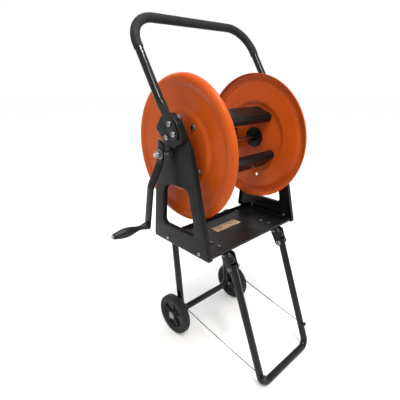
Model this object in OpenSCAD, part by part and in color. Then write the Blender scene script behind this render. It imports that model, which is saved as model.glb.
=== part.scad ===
// Hand-cranked flanged reel on a folding two-wheel stand.
// X runs along the reel axis, -Y is the front (foot of the folding stand),
// +Y is the rear (wheels, handle leans back), Z is up from the ground.
// The origin is at the centre of the overall box, on the ground.

/* [Reel] */
// Diameter of both reel flanges
flange_d = 400; // [380:1:404]
// Distance between the outer planes of the two flanges
reel_w = 324; // [318:1:326]
// Height of the reel axis above the ground
axis_z = 662.5; // [655:0.5:668]
// Sheet thickness of the pressed flanges
flange_t = 1.6; // [1.2:0.2:2]
// Distance from the reel axis to the outer face of a drum slat
slat_n = 97; // [94:1:98]
// Width of a drum slat
slat_w = 76; // [72:1:80]
// Depth of the turned-in edges of a drum slat
slat_lip = 26; // [22:1:28]
// Angle of the first drum slat around the axis
slat_a0 = 110.5; // [100:0.5:120]
// Diameter of the reel shaft
shaft_d = 16; // [15:0.5:17]

/* [Side plates] */
// Distance between the outer faces of the side plates
plate_span = 402; // [400:1:404]
// Sheet thickness of the side plates
plate_t = 2.5; // [2:0.5:3]
// Depth of the turned-in edge of the side plates
plate_lip = 14; // [12:1:16]
// Height of the bottom edge of the side plates
plate_z = 391.5; // [390:0.5:393]

/* [Tubes] */
// Outside diameter of all frame tubes
tube_d = 22; // [21:0.5:22]
// Wall thickness of the frame tubes
tube_t = 1.5; // [1.2:0.1:2]
// Distance between the handle tube centres
handle_span = 452; // [450:1:454]
// Bend radius of the handle
handle_r = 82; // [75:1:90]
// Outside diameter of the grip sleeve on the handle
sleeve_d = 27; // [26:0.5:28]
// Distance between the leg tube centres
leg_span = 234; // [232:1:236]

/* [Wheels] */
// Wheel diameter
wheel_d = 140; // [138:1:140]
// Wheel width
wheel_w = 28; // [26:1:28]
// Axle diameter
axle_d = 12; // [11:0.5:12]

/* [Crank] */
// Distance from the shaft to the grip pin
crank_r = 216; // [205:1:220]
// Hanging angle of the crank behind the vertical
crank_a = 12.5; // [5:0.5:20]
// Width of the crank bar
crank_w = 25; // [22:1:26]
// Thickness of the crank bar
crank_t = 5; // [4:0.5:5]

/* [Hidden] */
$fn = 48;

black = [0.10, 0.10, 0.105];
satin = [0.15, 0.15, 0.155];
orange = [0.78, 0.30, 0.08];
steel = [0.72, 0.72, 0.70];
rubber = [0.07, 0.07, 0.07];

// ---- derived positions (before the shift to the origin) ----
px = plate_span / 2;                 // outer face of a side plate
hx = handle_span / 2;                // handle tube centre
lx = leg_span / 2;                   // leg tube centre
ax = reel_w / 2;                     // outer plane of a flange
axle_y = 70.4;
axle_z = wheel_d / 2;
handle_top = [119.3, 996.7];         // top bar axis, y and z
handle_a = 32.46;                    // lean of the handle from the vertical
handle_dir = [-sin(handle_a), -cos(handle_a)];
leg_a = 20.5324;                       // spread of the front legs from the vertical
leg_dir = [-sin(leg_a), -cos(leg_a)];
bend_z = plate_z + plate_t - tube_d / 2;         // axis of the tubes under the tray
bend_y = -154.6;
pivot = [bend_y + 36 * leg_dir[0], bend_z + 36 * leg_dir[1]];
foot_len = (bend_z - tube_d / 2) / -leg_dir[1];  // along the leg, from the bend to the foot bar
foot = [bend_y + foot_len * leg_dir[0], tube_d / 2];
grip_end = -(361 + 2.5);
x_shift = -(grip_end + hx + sleeve_d / 2) / 2;
y_shift = -((foot[0] - tube_d / 2) + flange_d / 2) / 2;

// ---- helpers ----
function unit(v) = v / norm(v);
function left(v) = [-v[1], v[0]];
// rounded closed polygon from [x, y, radius] corners
function fillet(a, p, b, r, n) = r <= 0 ? [p] :
    let (u = unit(a - p), w = unit(b - p), h = acos(u * w) / 2, d = r / tan(h),
         c = p + unit(u + w) * (r / sin(h)), s = p + u * d - c, f = p + w * d - c,
         a0 = atan2(s[1], s[0]), a1 = atan2(f[1], f[0]),
         da = a1 - a0 > 180 ? a1 - a0 - 360 : (a1 - a0 < -180 ? a1 - a0 + 360 : a1 - a0))
    [for (i = [0 : n]) c + r * [cos(a0 + da * i / n), sin(a0 + da * i / n)]];
function rounded(q, n = 6) = let (m = len(q)) [for (i = [0 : m - 1])
    each fillet([q[(i + m - 1) % m][0], q[(i + m - 1) % m][1]], [q[i][0], q[i][1]],
                [q[(i + 1) % m][0], q[(i + 1) % m][1]], q[i][2], n)];
// miter offset of a closed polygon, positive to the left of its direction
function ring_off(p, t) = let (m = len(p)) [for (i = [0 : m - 1])
    let (a = left(unit(p[i] - p[(i + m - 1) % m])), b = left(unit(p[(i + 1) % m] - p[i])))
    p[i] + (a + b) * (t / (1 + a * b))];
// outline of an open line with thickness t to its left
function strip(p, t) = let (m = len(p)) concat(p, [for (k = [0 : m - 1])
    let (i = m - 1 - k,
         a = i > 0 ? left(unit(p[i] - p[i - 1])) : left(unit(p[1] - p[0])),
         b = i < m - 1 ? left(unit(p[i + 1] - p[i])) : left(unit(p[m - 1] - p[m - 2])))
    p[i] + (a + b) * (t / (1 + a * b))]);

module place() { translate([x_shift, y_shift, 0]) children(); }
// children drawn in (y, z), extruded along x from x0 to x1
module yz(x0, x1) { translate([x0, 0, 0]) multmatrix([[0, 0, 1, 0], [1, 0, 0, 0], [0, 1, 0, 0], [0, 0, 0, 1]])
    linear_extrude(height = x1 - x0) children(); }
module xcyl(x0, x1, d, y = 0, z = 0) { translate([x0, y, z]) rotate([0, 90, 0]) cylinder(h = x1 - x0, d = d); }
module xhex(x0, x1, d, y = 0, z = 0) { translate([x0, y, z]) rotate([0, 90, 0]) cylinder(h = x1 - x0, d = d, $fn = 6); }
module both() { children(); mirror([1, 0, 0]) children(); }

// bent round bar in the XY plane from the origin, heading +Y and turning towards -X:
// steps are [length] for a straight and [radius, angle] for a bend
module run(steps, d, i = 0) {
    if (i < len(steps)) {
        if (len(steps[i]) == 1) {
            rotate([-90, 0, 0]) cylinder(h = steps[i][0], d = d);
            translate([0, steps[i][0], 0]) run(steps, d, i + 1);
        } else {
            translate([-steps[i][0], 0, 0]) {
                rotate_extrude(angle = steps[i][1]) translate([steps[i][0], 0]) circle(d = d);
                rotate([0, 0, steps[i][1]]) translate([steps[i][0], 0, 0]) run(steps, d, i + 1);
            }
        }
    }
}
// the same as a tube of outside diameter d and wall t, open at both ends
module tube(steps, d, t) {
    n = len(steps);
    difference() {
        run(steps, d);
        translate([0, -1, 0]) run([for (i = [0 : n - 1]) i == 0 || i == n - 1 ? [steps[i][0] + 1] : steps[i]], d - 2 * t);
    }
}
// a U of two legs of length l, span w between centres, bend radius r
function u_steps(l, w, r) = [[l - r], [r, 90], [w - 2 * r], [r, 90], [l - r]];
function hp(s, x) = [x, handle_top[0] + s * handle_dir[0], handle_top[1] + s * handle_dir[1]];

// ---- side plates ----
plate_line = rounded([[-157.6, plate_z, 5], [87, plate_z, 8], [70, 541, 120], [50, 628, 90], [22, 694, 20],
    [14, 736, 22], [-14, 756, 14], [-44, 750, 12], [-60, 722, 24], [-88, 679, 80]]);
arch_line = rounded([[-102, 449, 12], [39, 449, 14], [25, 575, 34], [-74, 575, 18]]);
head_bolts = [[hp(300, 0)[1], hp(300, 0)[2]], [hp(328, 0)[1], hp(328, 0)[2]], [-20, 707]];
tray_bolt_at = [[-117, 405], [20, 405]];
module side_plate() {
    difference() {
        union() {
            yz(-px, -px + plate_t) difference() { polygon(plate_line); polygon(arch_line); }
            yz(-px + plate_t, -px + plate_lip) difference() { polygon(plate_line); polygon(ring_off(plate_line, plate_t)); }
            yz(-px + plate_t, -px + plate_lip) difference() { polygon(ring_off(arch_line, -plate_t)); polygon(arch_line); }
        }
        xcyl(-px - 1, -px + plate_t + 1, 24, 0, axis_z);
        xcyl(-px - 1, -px + plate_t + 1, 8, head_bolts[2][0], head_bolts[2][1]);
        for (b = tray_bolt_at) xcyl(-px - 1, -px + plate_t + 1, 6, b[0], b[1]);
    }
}
module side_plate_left() { color(black) place() side_plate(); }
module side_plate_right() { color(black) place() mirror([1, 0, 0]) side_plate(); }

// pressed cup between the head of a side plate and the handle
bracket_line = rounded([[-40, 682, 14], [-6, 698, 8], [27, 727, 10], [-2, 764, 24], [-34, 769, 14], [-62, 746, 16], [-84, 702, 12]]);
module handle_bracket() {
    difference() {
        union() {
            yz(-hx + 5, -hx + 7.5) polygon(bracket_line);
            yz(-hx + 7.5, -px) difference() { polygon(bracket_line); polygon(ring_off(bracket_line, 2.5)); }
        }
        for (b = head_bolts) xcyl(-hx + 4, -px + 1, 8, b[0], b[1]);
    }
}
module handle_bracket_left() { color(black) place() handle_bracket(); }
module handle_bracket_right() { color(black) place() mirror([1, 0, 0]) handle_bracket(); }

// ---- handle ----
module handle_u(s) { translate(hp(s, hx)) rotate([90 - handle_a, 0, 0]) children(); }
flat0 = 264; // start of the flattened end, along the handle from the top bar
// flattened end in the handle's own plane: taper from the round tube, then a flat bar with a round tip and two bolt holes
module handle_end() {
    intersection() {
        translate([0, -26, 0]) rotate([-90, 0, 0]) cylinder(h = 26, d = tube_d);
        translate([0, 0, -20]) linear_extrude(height = 40) polygon([[-11.5, 1], [11.5, 1], [11.5, 0], [1, -26], [-5, -26], [-11.5, 0]]);
    }
    difference() {
        union() {
            translate([-5, -92, -14]) cube([6, 66, 28]);
            translate([-5, -92, 0]) rotate([0, 90, 0]) cylinder(h = 6, r = 14);
        }
        for (q = [300, 328]) translate([-6, flat0 - 26 - q, 0]) rotate([0, 90, 0]) cylinder(h = 8, d = 8);
    }
}
module handle_tube() { color(black) place() handle_u(flat0 - 26) {
    tube(u_steps(flat0 - 26, handle_span, handle_r), tube_d, tube_t);
    handle_end();
    translate([-handle_span, 0, 0]) mirror([1, 0, 0]) handle_end();
} }
module handle_sleeve() { color(rubber) place()
    handle_u(handle_r + 12) tube(u_steps(handle_r + 12, handle_span, handle_r), sleeve_d, (sleeve_d - tube_d) / 2 - 0.05); }
module handle_bolts() { color(steel) place() both() {
    for (b = [head_bolts[0], head_bolts[1]]) { xcyl(-hx - 5.5, -hx - 1, 15, b[0], b[1]); xcyl(-hx - 1, -hx + 16, 8, b[0], b[1]); }
    xcyl(-hx + 0.5, -hx + 5, 15, head_bolts[2][0], head_bolts[2][1]); xcyl(-hx + 5, -px + 12, 8, head_bolts[2][0], head_bolts[2][1]);
} }
module handle_nuts() { color(steel) place() both() for (i = [0 : 2]) let (b = head_bolts[i], x = i == 2 ? -px + plate_t : -hx + 7.5) difference() {
    xhex(x, x + 6, 15, b[0], b[1]); xcyl(x - 1, x + 12, 8, b[0], b[1]); } }

// ---- tray ----
tray_z = plate_z + plate_t;
tray_line = [[-152, tray_z + 10], [-152, tray_z], [47, tray_z], [47, tray_z + 12]];
frame_bolt_y = [-112, -80, 30];
module tray_floor() { color(black) place() difference() {
    union() {
        translate([-px + plate_t, 0, 0]) yz(0, plate_span - 2 * plate_t) polygon(strip(tray_line, 2));
        both() translate([-px + plate_t, -140, tray_z]) cube([2, 176, 24]);
    }
    both() {
        for (b = tray_bolt_at) xcyl(-px, -px + 8, 6, b[0], b[1]);
        for (y = frame_bolt_y) translate([-lx, y, tray_z - 1]) cylinder(h = 6, d = 6);
    }
} }
module tray_label() { color([0.62, 0.47, 0.32]) place() translate([-55, -44, tray_z + 2]) cube([110, 33, 0.6]); }
module tray_bolts() { color(steel) place() both() for (b = tray_bolt_at) {
    xcyl(-px - 4, -px, 11.5, b[0], b[1]); xcyl(-px, -px + 10, 6, b[0], b[1]); } }
module tray_nuts() { color(steel) place() both() for (b = tray_bolt_at) difference() {
    xhex(-px + plate_t + 2, -px + plate_t + 6.5, 11.5, b[0], b[1]); xcyl(-px, -px + 12, 6, b[0], b[1]); } }

// ---- lower frame: a bent rail under each end of the tray, and a U with the two rear legs ----
stub = [bend_y + 20 * leg_dir[0], bend_z + 20 * leg_dir[1]];
rear_a = 5.6406;                     // rearward lean of the rear legs going up
rear_top = [axle_y + (bend_z - axle_z) * tan(rear_a), bend_z];   // corner of a rail and a rear leg, y and z
joint_z = 332;                       // where the rear legs plug onto the rails
joint_y = axle_y + (joint_z - axle_z) * tan(rear_a);
rail_steps = [[20 - 26 * tan((90 - leg_a) / 2)], [26, 90 - leg_a],
    [rear_top[0] - bend_y - 26 * tan((90 - leg_a) / 2) - 34 * tan(45 + rear_a / 2)],
    [34, 90 + rear_a], [(rear_top[1] - joint_z) / cos(rear_a) - 34 * tan(45 + rear_a / 2)]];
rivet = [-144, bend_z];
module rail() { difference() {
    translate([-lx, stub[0], stub[1]]) rotate([-leg_a, 0, 0])
        multmatrix([[0, 0, -1, 0], [-1, 0, 0, 0], [0, 1, 0, 0], [0, 0, 0, 1]]) tube(rail_steps, tube_d, tube_t);
    for (y = frame_bolt_y) translate([-lx, y, bend_z - 20]) cylinder(h = 40, d = 6);
    xcyl(-lx - 20, -lx + 20, 6, rivet[0], rivet[1]);
} }
module frame_rail_left() { color(black) place() rail(); }
module frame_rail_right() { color(black) place() mirror([1, 0, 0]) rail(); }
module rear_frame_tube() { color(black) place() difference() {
    translate([lx, joint_y, joint_z]) rotate([-90 - rear_a, 0, 0])
        tube(u_steps((joint_z - axle_z) / cos(rear_a), leg_span, 30), tube_d, tube_t);
    xcyl(-150, 150, axle_d, axle_y, axle_z);
} }
module frame_plugs() { color(black) place() both() translate([-lx, joint_y, joint_z]) rotate([-rear_a, 0, 0])
    translate([0, 0, -30]) cylinder(h = 43, d = tube_d - 2 * tube_t); }
module frame_bolts() { color(steel) place() both() for (y = frame_bolt_y) {
    translate([-lx, y, tray_z + 2]) cylinder(h = 4, d = 13);
    translate([-lx, y, bend_z - tube_d / 2 - 7]) cylinder(h = tray_z + 2 - bend_z + tube_d / 2 + 7, d = 6); } }
module frame_nuts() { color(steel) place() both() for (y = frame_bolt_y) difference() {
    translate([-lx, y, bend_z - tube_d / 2 - 5]) cylinder(h = 5, d = 11.5, $fn = 6);
    translate([-lx, y, bend_z - 30]) cylinder(h = 40, d = 6); } }

// ---- hinge of the folding front stand ----
module cheek(x0) { difference() {
    yz(x0, x0 + 3) polygon(rounded([[pivot[0] - 12.5, pivot[1] - 10, 10], [pivot[0] + 10, pivot[1] - 14, 10],
        [-134, bend_z - 9, 8], [-134, bend_z + 9, 8], [-158, bend_z + 9, 8]]));
    xcyl(x0 - 1, x0 + 4, 8, pivot[0], pivot[1]);
    xcyl(x0 - 1, x0 + 4, 6, rivet[0], rivet[1]);
} }
module pivot_brackets() { color(black) place() both() { cheek(-lx - tube_d / 2 - 3.4); cheek(-lx + tube_d / 2 + 0.4); } }
module pivot_rivets() { color(steel) place() both() {
    xcyl(-lx - 17, -lx + 17, 6, rivet[0], rivet[1]);
    xcyl(-lx - 17, -lx - 14.4, 10, rivet[0], rivet[1]); xcyl(-lx + 14.4, -lx + 17, 10, rivet[0], rivet[1]); } }
module pivot_bolts() { color(steel) place() both() {
    xcyl(-lx - 19.4, -lx - 14.4, 15, pivot[0], pivot[1]); xcyl(-lx - 14.4, -lx + 22.4, 8, pivot[0], pivot[1]); } }
module pivot_nuts() { color(steel) place() both() difference() {
    xhex(-lx + 14.4, -lx + 20.4, 15, pivot[0], pivot[1]); xcyl(-lx, -lx + 30, 8, pivot[0], pivot[1]); } }

// ---- axle and wheels ----
wx = 162.4; // outer face of a wheel
module axle_rod() { color(steel) place() xcyl(-wx - 6, wx + 6, axle_d, axle_y, axle_z); }
module axle_spacers() { color(steel) place() both() difference() {
    xcyl(-wx + wheel_w + 0.5, -lx - 6.4, 18, axle_y, axle_z);
    xcyl(-wx, -lx, axle_d, axle_y, axle_z); } }
module axle_washers() { color(steel) place() both() difference() {
    xcyl(-wx - 2, -wx - 0.5, 26, axle_y, axle_z); xcyl(-wx - 3, -wx, axle_d, axle_y, axle_z); } }
module axle_caps() { color(steel) place() both() difference() {
    union() { xcyl(-wx - 6, -wx - 2, 19, axle_y, axle_z); xcyl(-wx - 8, -wx - 6, 15, axle_y, axle_z); }
    xcyl(-wx - 6, -wx, axle_d, axle_y, axle_z); } }
rim_r = wheel_d / 2 - 18;
tyre_line = rounded([[rim_r, -wheel_w / 2 + 1, 1.5], [wheel_d / 2 - 1, -wheel_w / 2, 9], [wheel_d / 2, 0, 30],
    [wheel_d / 2 - 1, wheel_w / 2, 9], [rim_r, wheel_w / 2 - 1, 1.5]], 5);
module tyre(s) { translate([s * (wx - wheel_w / 2), axle_y, axle_z]) rotate([0, 90, 0]) rotate_extrude() polygon(tyre_line); }
module wheel_hub(s) { translate([s * (wx - wheel_w / 2), axle_y, axle_z]) rotate([0, 90, 0]) difference() {
    union() {
        rotate_extrude() polygon([[axle_d / 2 + 0.06, -wheel_w / 2], [15, -wheel_w / 2], [15, -3], [rim_r - 5, -3], [rim_r - 5, -wheel_w / 2 + 2],
            [rim_r, -wheel_w / 2 + 2], [rim_r, wheel_w / 2 - 2], [rim_r - 5, wheel_w / 2 - 2], [rim_r - 5, 3], [15, 3], [15, wheel_w / 2], [axle_d / 2 + 0.06, wheel_w / 2]]);
        for (i = [0 : 4]) rotate([0, 0, 72 * i + 18]) translate([13, -2, -wheel_w / 2 + 5]) cube([rim_r - 15, 4, wheel_w - 10]);
    }
} }
module wheel_left_tyre() { color(rubber) place() tyre(-1); }
module wheel_right_tyre() { color(rubber) place() tyre(1); }
module wheel_left_hub() { color(black) place() wheel_hub(-1); }
module wheel_right_hub() { color(black) place() wheel_hub(1); }

// ---- bushes in the side plates ----
module bush() { difference() {
    union() { xcyl(-px - 3, -px, 40, 0, axis_z); xcyl(-px, -px + plate_t, 24, 0, axis_z); xcyl(-px + plate_t, -px + plate_t + 8, 30, 0, axis_z); }
    xcyl(-px - 4, -px + 20, shaft_d + 0.12, 0, axis_z); } }
module shaft_bush_left() { color(rubber) place() bush(); }
module shaft_bush_right() { color(rubber) place() mirror([1, 0, 0]) bush(); }

// ---- reel ----
// outer surface of a flange: radius and height below the outer plane
f_line = concat([[13, -1], [104, -1], [107, -1.6], [115, -5.4], [118, -6], [164, -6], [168, -5.4], [176, -1.4], [180, -0.4], [184, 0],
    [188, -0.3], [192, -1.4], [195, -3.1], [197.4, -5.4], [199.2, -8.4], [200, -11.5], [200, -14.5]]);
fl = [for (q = f_line) [q[0] * flange_d / 400, q[1]]];
bolt_n = 83.5; bolt_t = 29;
module slat_frame(i) { translate([0, 0, axis_z]) rotate([slat_a0 + 120 * i - 90, 0, 0]) children(); }
anchor = [125, 99.9]; // wire end hole in the right flange, radius and angle below the +Y direction
module flange(hole = false) { difference() {
    translate([-ax, 0, axis_z]) rotate([0, -90, 0]) rotate_extrude() polygon(strip(fl, -flange_t));
    if (hole) xcyl(-ax, -ax + 12, 9, anchor[0] * cos(anchor[1]), axis_z - anchor[0] * sin(anchor[1]));
    for (i = [0 : 2]) slat_frame(i) for (s = [-1, 1]) xcyl(-ax - 1, -ax + 4, 6, s * bolt_t, bolt_n);
} }
module flange_left() { color(orange) place() flange(); }
module flange_right() { color(orange) place() mirror([1, 0, 0]) flange(true); }

ix = ax - 1 - flange_t; // inner face of a flange near the hub
slat_line = [[slat_w / 2 - 3.6, slat_n - slat_lip], [slat_w / 2, slat_n - 11], [slat_w / 2 - 11, slat_n],
    [-slat_w / 2 + 11, slat_n], [-slat_w / 2, slat_n - 11], [-slat_w / 2 + 3.6, slat_n - slat_lip]];
module slat(i) { slat_frame(i) difference() {
    union() {
        yz(-ix, ix) polygon(strip(slat_line, 2));
        both() translate([-ix, -36, slat_n - 22]) cube([2, 72, 21]);
    }
    both() for (s = [-1, 1]) xcyl(-ix - 1, -ix + 3, 6, s * bolt_t, bolt_n);
} }
module drum_slat_1() { color(black) place() slat(0); }
module drum_slat_2() { color(black) place() slat(1); }
module drum_slat_3() { color(black) place() slat(2); }
module flange_bolts() { color(steel) place() both() for (i = [0 : 2]) slat_frame(i) for (s = [-1, 1]) {
    xhex(-ax - 3.5, -ax + 1, 15, s * bolt_t, bolt_n); xcyl(-ax + 1, -ix + 8, 6, s * bolt_t, bolt_n); } }
module flange_nuts() { color(steel) place() both() for (i = [0 : 2]) slat_frame(i) for (s = [-1, 1]) difference() {
    xhex(-ix + 2, -ix + 7, 11.5, s * bolt_t, bolt_n); xcyl(-ix, -ix + 12, 6, s * bolt_t, bolt_n); } }
module hub() { difference() {
    union() { xcyl(-ix, -ix + 3, 66, 0, axis_z); xcyl(-ax - 3, -ix + 24, 26, 0, axis_z); }
    xcyl(-ax - 4, -ix + 30, shaft_d, 0, axis_z);
} }
module hub_left() { color(black) place() hub(); }
module hub_right() { color(black) place() mirror([1, 0, 0]) hub(); }
module reel_shaft() { color(steel) place() { xcyl(-224, px + 16, shaft_d, 0, axis_z); xcyl(-246, -224, 12, 0, axis_z); } }
module shaft_collar() { color(steel) place() difference() {
    xcyl(px + 3.5, px + 13.5, 28, 0, axis_z); xcyl(px, px + 20, shaft_d, 0, axis_z); } }

// ---- crank ----
c1 = -226.5; // middle plane of the bar at the shaft
c2 = -250;   // middle plane of the bar at the grip
module crank_frame() { translate([0, 0, axis_z]) rotate([crank_a, 0, 0]) children(); }
crank_line = [[c2 + crank_t / 2, -crank_r - 12.5], [c2 + crank_t / 2, -92], [c1 + crank_t / 2, -27], [c1 + crank_t / 2, 36]];
crank_face = rounded([[-crank_w / 2, -crank_r - 12.5, 12], [crank_w / 2, -crank_r - 12.5, 12], [crank_w / 2, 36, 1], [-crank_w / 2, 27, 1]]);
module crank_arm() { color(black) place() crank_frame() difference() {
    intersection() {
        translate([0, crank_w / 2 + 1, 0]) rotate([90, 0, 0]) linear_extrude(height = crank_w + 2) polygon(strip(crank_line, crank_t));
        yz(-270, -215) polygon(crank_face);
    }
    xcyl(-240, -215, 12);
    xcyl(-260, -240, 8, 0, -crank_r);
} }
module crank_washer() { color(steel) place() difference() { xcyl(-230.6, -229, 26, 0, axis_z); xcyl(-232, -228, 12, 0, axis_z); } }
module crank_nut() { color(steel) place() difference() { xhex(-241, -230.6, 21, 0, axis_z); xcyl(-245, -228, 12, 0, axis_z); } }
module grip_pin() { color(steel) place() crank_frame() { xcyl(-361, -242, 8, 0, -crank_r); xcyl(-363.5, -361, 12, 0, -crank_r); } }
module grip_nut() { color(steel) place() crank_frame() difference() { xhex(-247.5, -242.5, 14, 0, -crank_r); xcyl(-250, -240, 8, 0, -crank_r); } }
// turned grip: distance out from the arm and radius
grip_line = [[253, 10.5], [257, 11], [261, 10.4], [266, 8.6], [273, 7.2], [281, 7], [289, 8.2], [298, 10.6], [308, 12.9],
    [318, 13.9], [328, 13.8], [338, 12.6], [347, 10.8], [354, 9.2], [358, 8.2], [360.6, 6.6]];
module crank_grip() { color(rubber) place() crank_frame() translate([0, 0, -crank_r]) rotate([0, -90, 0])
    rotate_extrude() polygon(concat([[4.06, 253]], [for (q = grip_line) [q[1], q[0]]], [[4.06, 360.6]])); }

// ---- folding front stand ----
stand_top = [pivot[0] - 9 * leg_dir[0], pivot[1] - 9 * leg_dir[1]];
stand_len = foot_len - 36 + 9;
// where the brace cables pass through the front legs, distance below the tube bend
cable_s = [362, 318];
function leg_at(s) = [bend_y + s * leg_dir[0], bend_z + s * leg_dir[1]];
module front_stand_tube() { color(black) place() difference() {
    translate([lx, stand_top[0], stand_top[1]]) rotate([-90 - leg_a, 0, 0]) tube(u_steps(stand_len, leg_span, 26), tube_d, tube_t);
    both() xcyl(-lx - 20, -lx + 20, 8.12, pivot[0], pivot[1]);
    for (i = [0, 1]) translate([(2 * i - 1) * lx, leg_at(cable_s[i])[0], leg_at(cable_s[i])[1]])
        rotate([90, 0, 0]) translate([0, 0, -20]) cylinder(h = 40, d = 5);
} }

// ---- brace cables: from the rear frame to the front legs ----
// where each cable leaves the rear tube: the left one on the corner bend, the right one higher on the leg
rear_at = [[-lx + 30 - 30 * cos(45), axle_y + (30 - 30 * sin(45)) * tan(rear_a), axle_z + 30 - 30 * sin(45)],
           [lx, axle_y + (152 - axle_z) * tan(rear_a), 152]];
module knob(i) { translate([(2 * i - 1) * lx, leg_at(cable_s[i])[0], leg_at(cable_s[i])[1]]) rotate([90, 0, 0]) {
    difference() { union() { translate([0, 0, 14.6]) cylinder(h = 6, d = 14); translate([0, 0, -9]) cylinder(h = 24, d = 5); }
        translate([0, 0, -10]) cylinder(h = 20, d = 2.6); } } }
module cable_stop_knobs() { color(black) place() { knob(0); knob(1); } }
// route of a cable: a shallow sag from the anchor screw to the leg, then through the leg into the knob
function cable_path(i) = let (a = rear_at[i] - [0, tube_d / 2 + 3.8, 0], b = [(2 * i - 1) * lx, leg_at(cable_s[i])[0] + 14, leg_at(cable_s[i])[1]], n = 14)
    concat([for (k = [0 : n]) a + (b - a) * k / n - [0, 0, 12 * (k / n) * (1 - k / n)]], [b - [0, 22, 0]]);
module cable(i) {
    p = cable_path(i); m = len(p); k = 8; r = 1.25;
    polyhedron([for (q = p) for (j = [0 : k - 1]) q + [r * cos(j * 360 / k), 0, r * sin(j * 360 / k)]],
        concat([[for (j = [0 : k - 1]) j]], [[for (j = [0 : k - 1]) m * k - 1 - j]],
            [for (a = [0 : m - 2]) for (j = [0 : k - 1]) [a * k + j, (a + 1) * k + j, (a + 1) * k + (j + 1) % k, a * k + (j + 1) % k]]));
}
module brace_cable_left() { color(rubber) place() cable(0); }
module brace_cable_right() { color(rubber) place() cable(1); }
module cable_anchor_screws() { color(black) place() for (i = [0, 1]) translate(rear_at[i])
    rotate([90, 0, 0]) translate([0, 0, tube_d / 2 + 0.7]) cylinder(h = 3.1, d = 9); }

side_plate_left();
side_plate_right();
handle_bracket_left();
handle_bracket_right();
handle_tube();
handle_sleeve();
handle_bolts();
handle_nuts();
tray_floor();
tray_label();
tray_bolts();
tray_nuts();
frame_rail_left();
frame_rail_right();
rear_frame_tube();
frame_plugs();
frame_bolts();
frame_nuts();
pivot_brackets();
pivot_rivets();
pivot_bolts();
pivot_nuts();
axle_rod();
axle_spacers();
axle_washers();
axle_caps();
shaft_bush_left();
shaft_bush_right();
cable_anchor_screws();
flange_left();
flange_right();
drum_slat_1();
drum_slat_2();
drum_slat_3();
flange_bolts();
flange_nuts();
hub_left();
hub_right();
reel_shaft();
shaft_collar();
crank_arm();
crank_washer();
crank_nut();
grip_pin();
grip_nut();
crank_grip();
wheel_left_tyre();
wheel_left_hub();
wheel_right_tyre();
wheel_right_hub();
front_stand_tube();
cable_stop_knobs();
brace_cable_left();
brace_cable_right();
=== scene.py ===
import bpy, bmesh, math
from math import sin, cos, tan, radians, sqrt, pi, atan2
from mathutils import Vector, Matrix
from mathutils.geometry import tessellate_polygon


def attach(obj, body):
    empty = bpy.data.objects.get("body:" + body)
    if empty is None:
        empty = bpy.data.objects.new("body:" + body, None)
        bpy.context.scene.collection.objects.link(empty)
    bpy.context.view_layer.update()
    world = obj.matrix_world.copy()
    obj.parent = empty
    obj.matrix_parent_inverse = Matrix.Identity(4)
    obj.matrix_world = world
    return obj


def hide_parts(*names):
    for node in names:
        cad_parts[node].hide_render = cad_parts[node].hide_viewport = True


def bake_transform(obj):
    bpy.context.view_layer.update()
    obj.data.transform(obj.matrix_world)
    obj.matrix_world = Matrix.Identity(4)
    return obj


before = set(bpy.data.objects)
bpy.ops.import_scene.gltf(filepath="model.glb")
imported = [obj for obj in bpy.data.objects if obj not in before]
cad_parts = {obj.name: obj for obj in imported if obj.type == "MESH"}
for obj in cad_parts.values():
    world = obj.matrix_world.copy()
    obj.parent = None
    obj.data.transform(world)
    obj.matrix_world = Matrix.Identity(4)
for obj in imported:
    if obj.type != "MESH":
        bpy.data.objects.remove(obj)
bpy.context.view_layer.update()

scene = bpy.context.scene

# ------------------------------------------------------------------ sizes, in mm, as in the CAD
FLANGE_D, REEL_W, AXIS_Z, FLANGE_T = 400.0, 324.0, 662.5, 1.6
SLAT_N, SLAT_W, SLAT_LIP, SLAT_A0, SHAFT_D = 97.0, 76.0, 26.0, 110.5, 16.0
PLATE_SPAN, PLATE_T, PLATE_LIP, PLATE_Z = 402.0, 2.5, 14.0, 391.5
TUBE_D, TUBE_T, HANDLE_SPAN, HANDLE_R, SLEEVE_D, LEG_SPAN = 22.0, 1.5, 452.0, 82.0, 27.0, 234.0
WHEEL_D, WHEEL_W, AXLE_D = 140.0, 28.0, 12.0
CRANK_R, CRANK_A, CRANK_W, CRANK_T = 216.0, 12.5, 25.0, 5.0
PX, HX, LX, AX = PLATE_SPAN / 2, HANDLE_SPAN / 2, LEG_SPAN / 2, REEL_W / 2
AXLE_Y, AXLE_Z, WX = 70.4, WHEEL_D / 2, 162.4
HT, HA = (119.3, 996.7), 32.46
LEG_A, REAR_A = 20.5324, 5.6406
BEND_Z = PLATE_Z + PLATE_T - TUBE_D / 2
BEND_Y = -154.6
LD = (-sin(radians(LEG_A)), -cos(radians(LEG_A)))
PIVOT = (BEND_Y + 36 * LD[0], BEND_Z + 36 * LD[1])
FOOT_LEN = (BEND_Z - TUBE_D / 2) / -LD[1]
FOOT_Y = BEND_Y + FOOT_LEN * LD[0]
XS = -(-363.5 + HX + SLEEVE_D / 2) / 2
YS = -((FOOT_Y - TUBE_D / 2) + FLANGE_D / 2) / 2
IX = AX - 1 - FLANGE_T
TRAY_Z = PLATE_Z + PLATE_T
REAR_TOP = (AXLE_Y + (BEND_Z - AXLE_Z) * tan(radians(REAR_A)), BEND_Z)
JOINT_Z = 332.0
JOINT_Y = AXLE_Y + (JOINT_Z - AXLE_Z) * tan(radians(REAR_A))


def P(p):
    return Vector(((p[0] + XS) * 0.001, (p[1] + YS) * 0.001, p[2] * 0.001))


def hp(s, x=0.0):
    return (x, HT[0] - s * sin(radians(HA)), HT[1] - s * cos(radians(HA)))


def leg_at(s):
    return (BEND_Y + s * LD[0], BEND_Z + s * LD[1])


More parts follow.
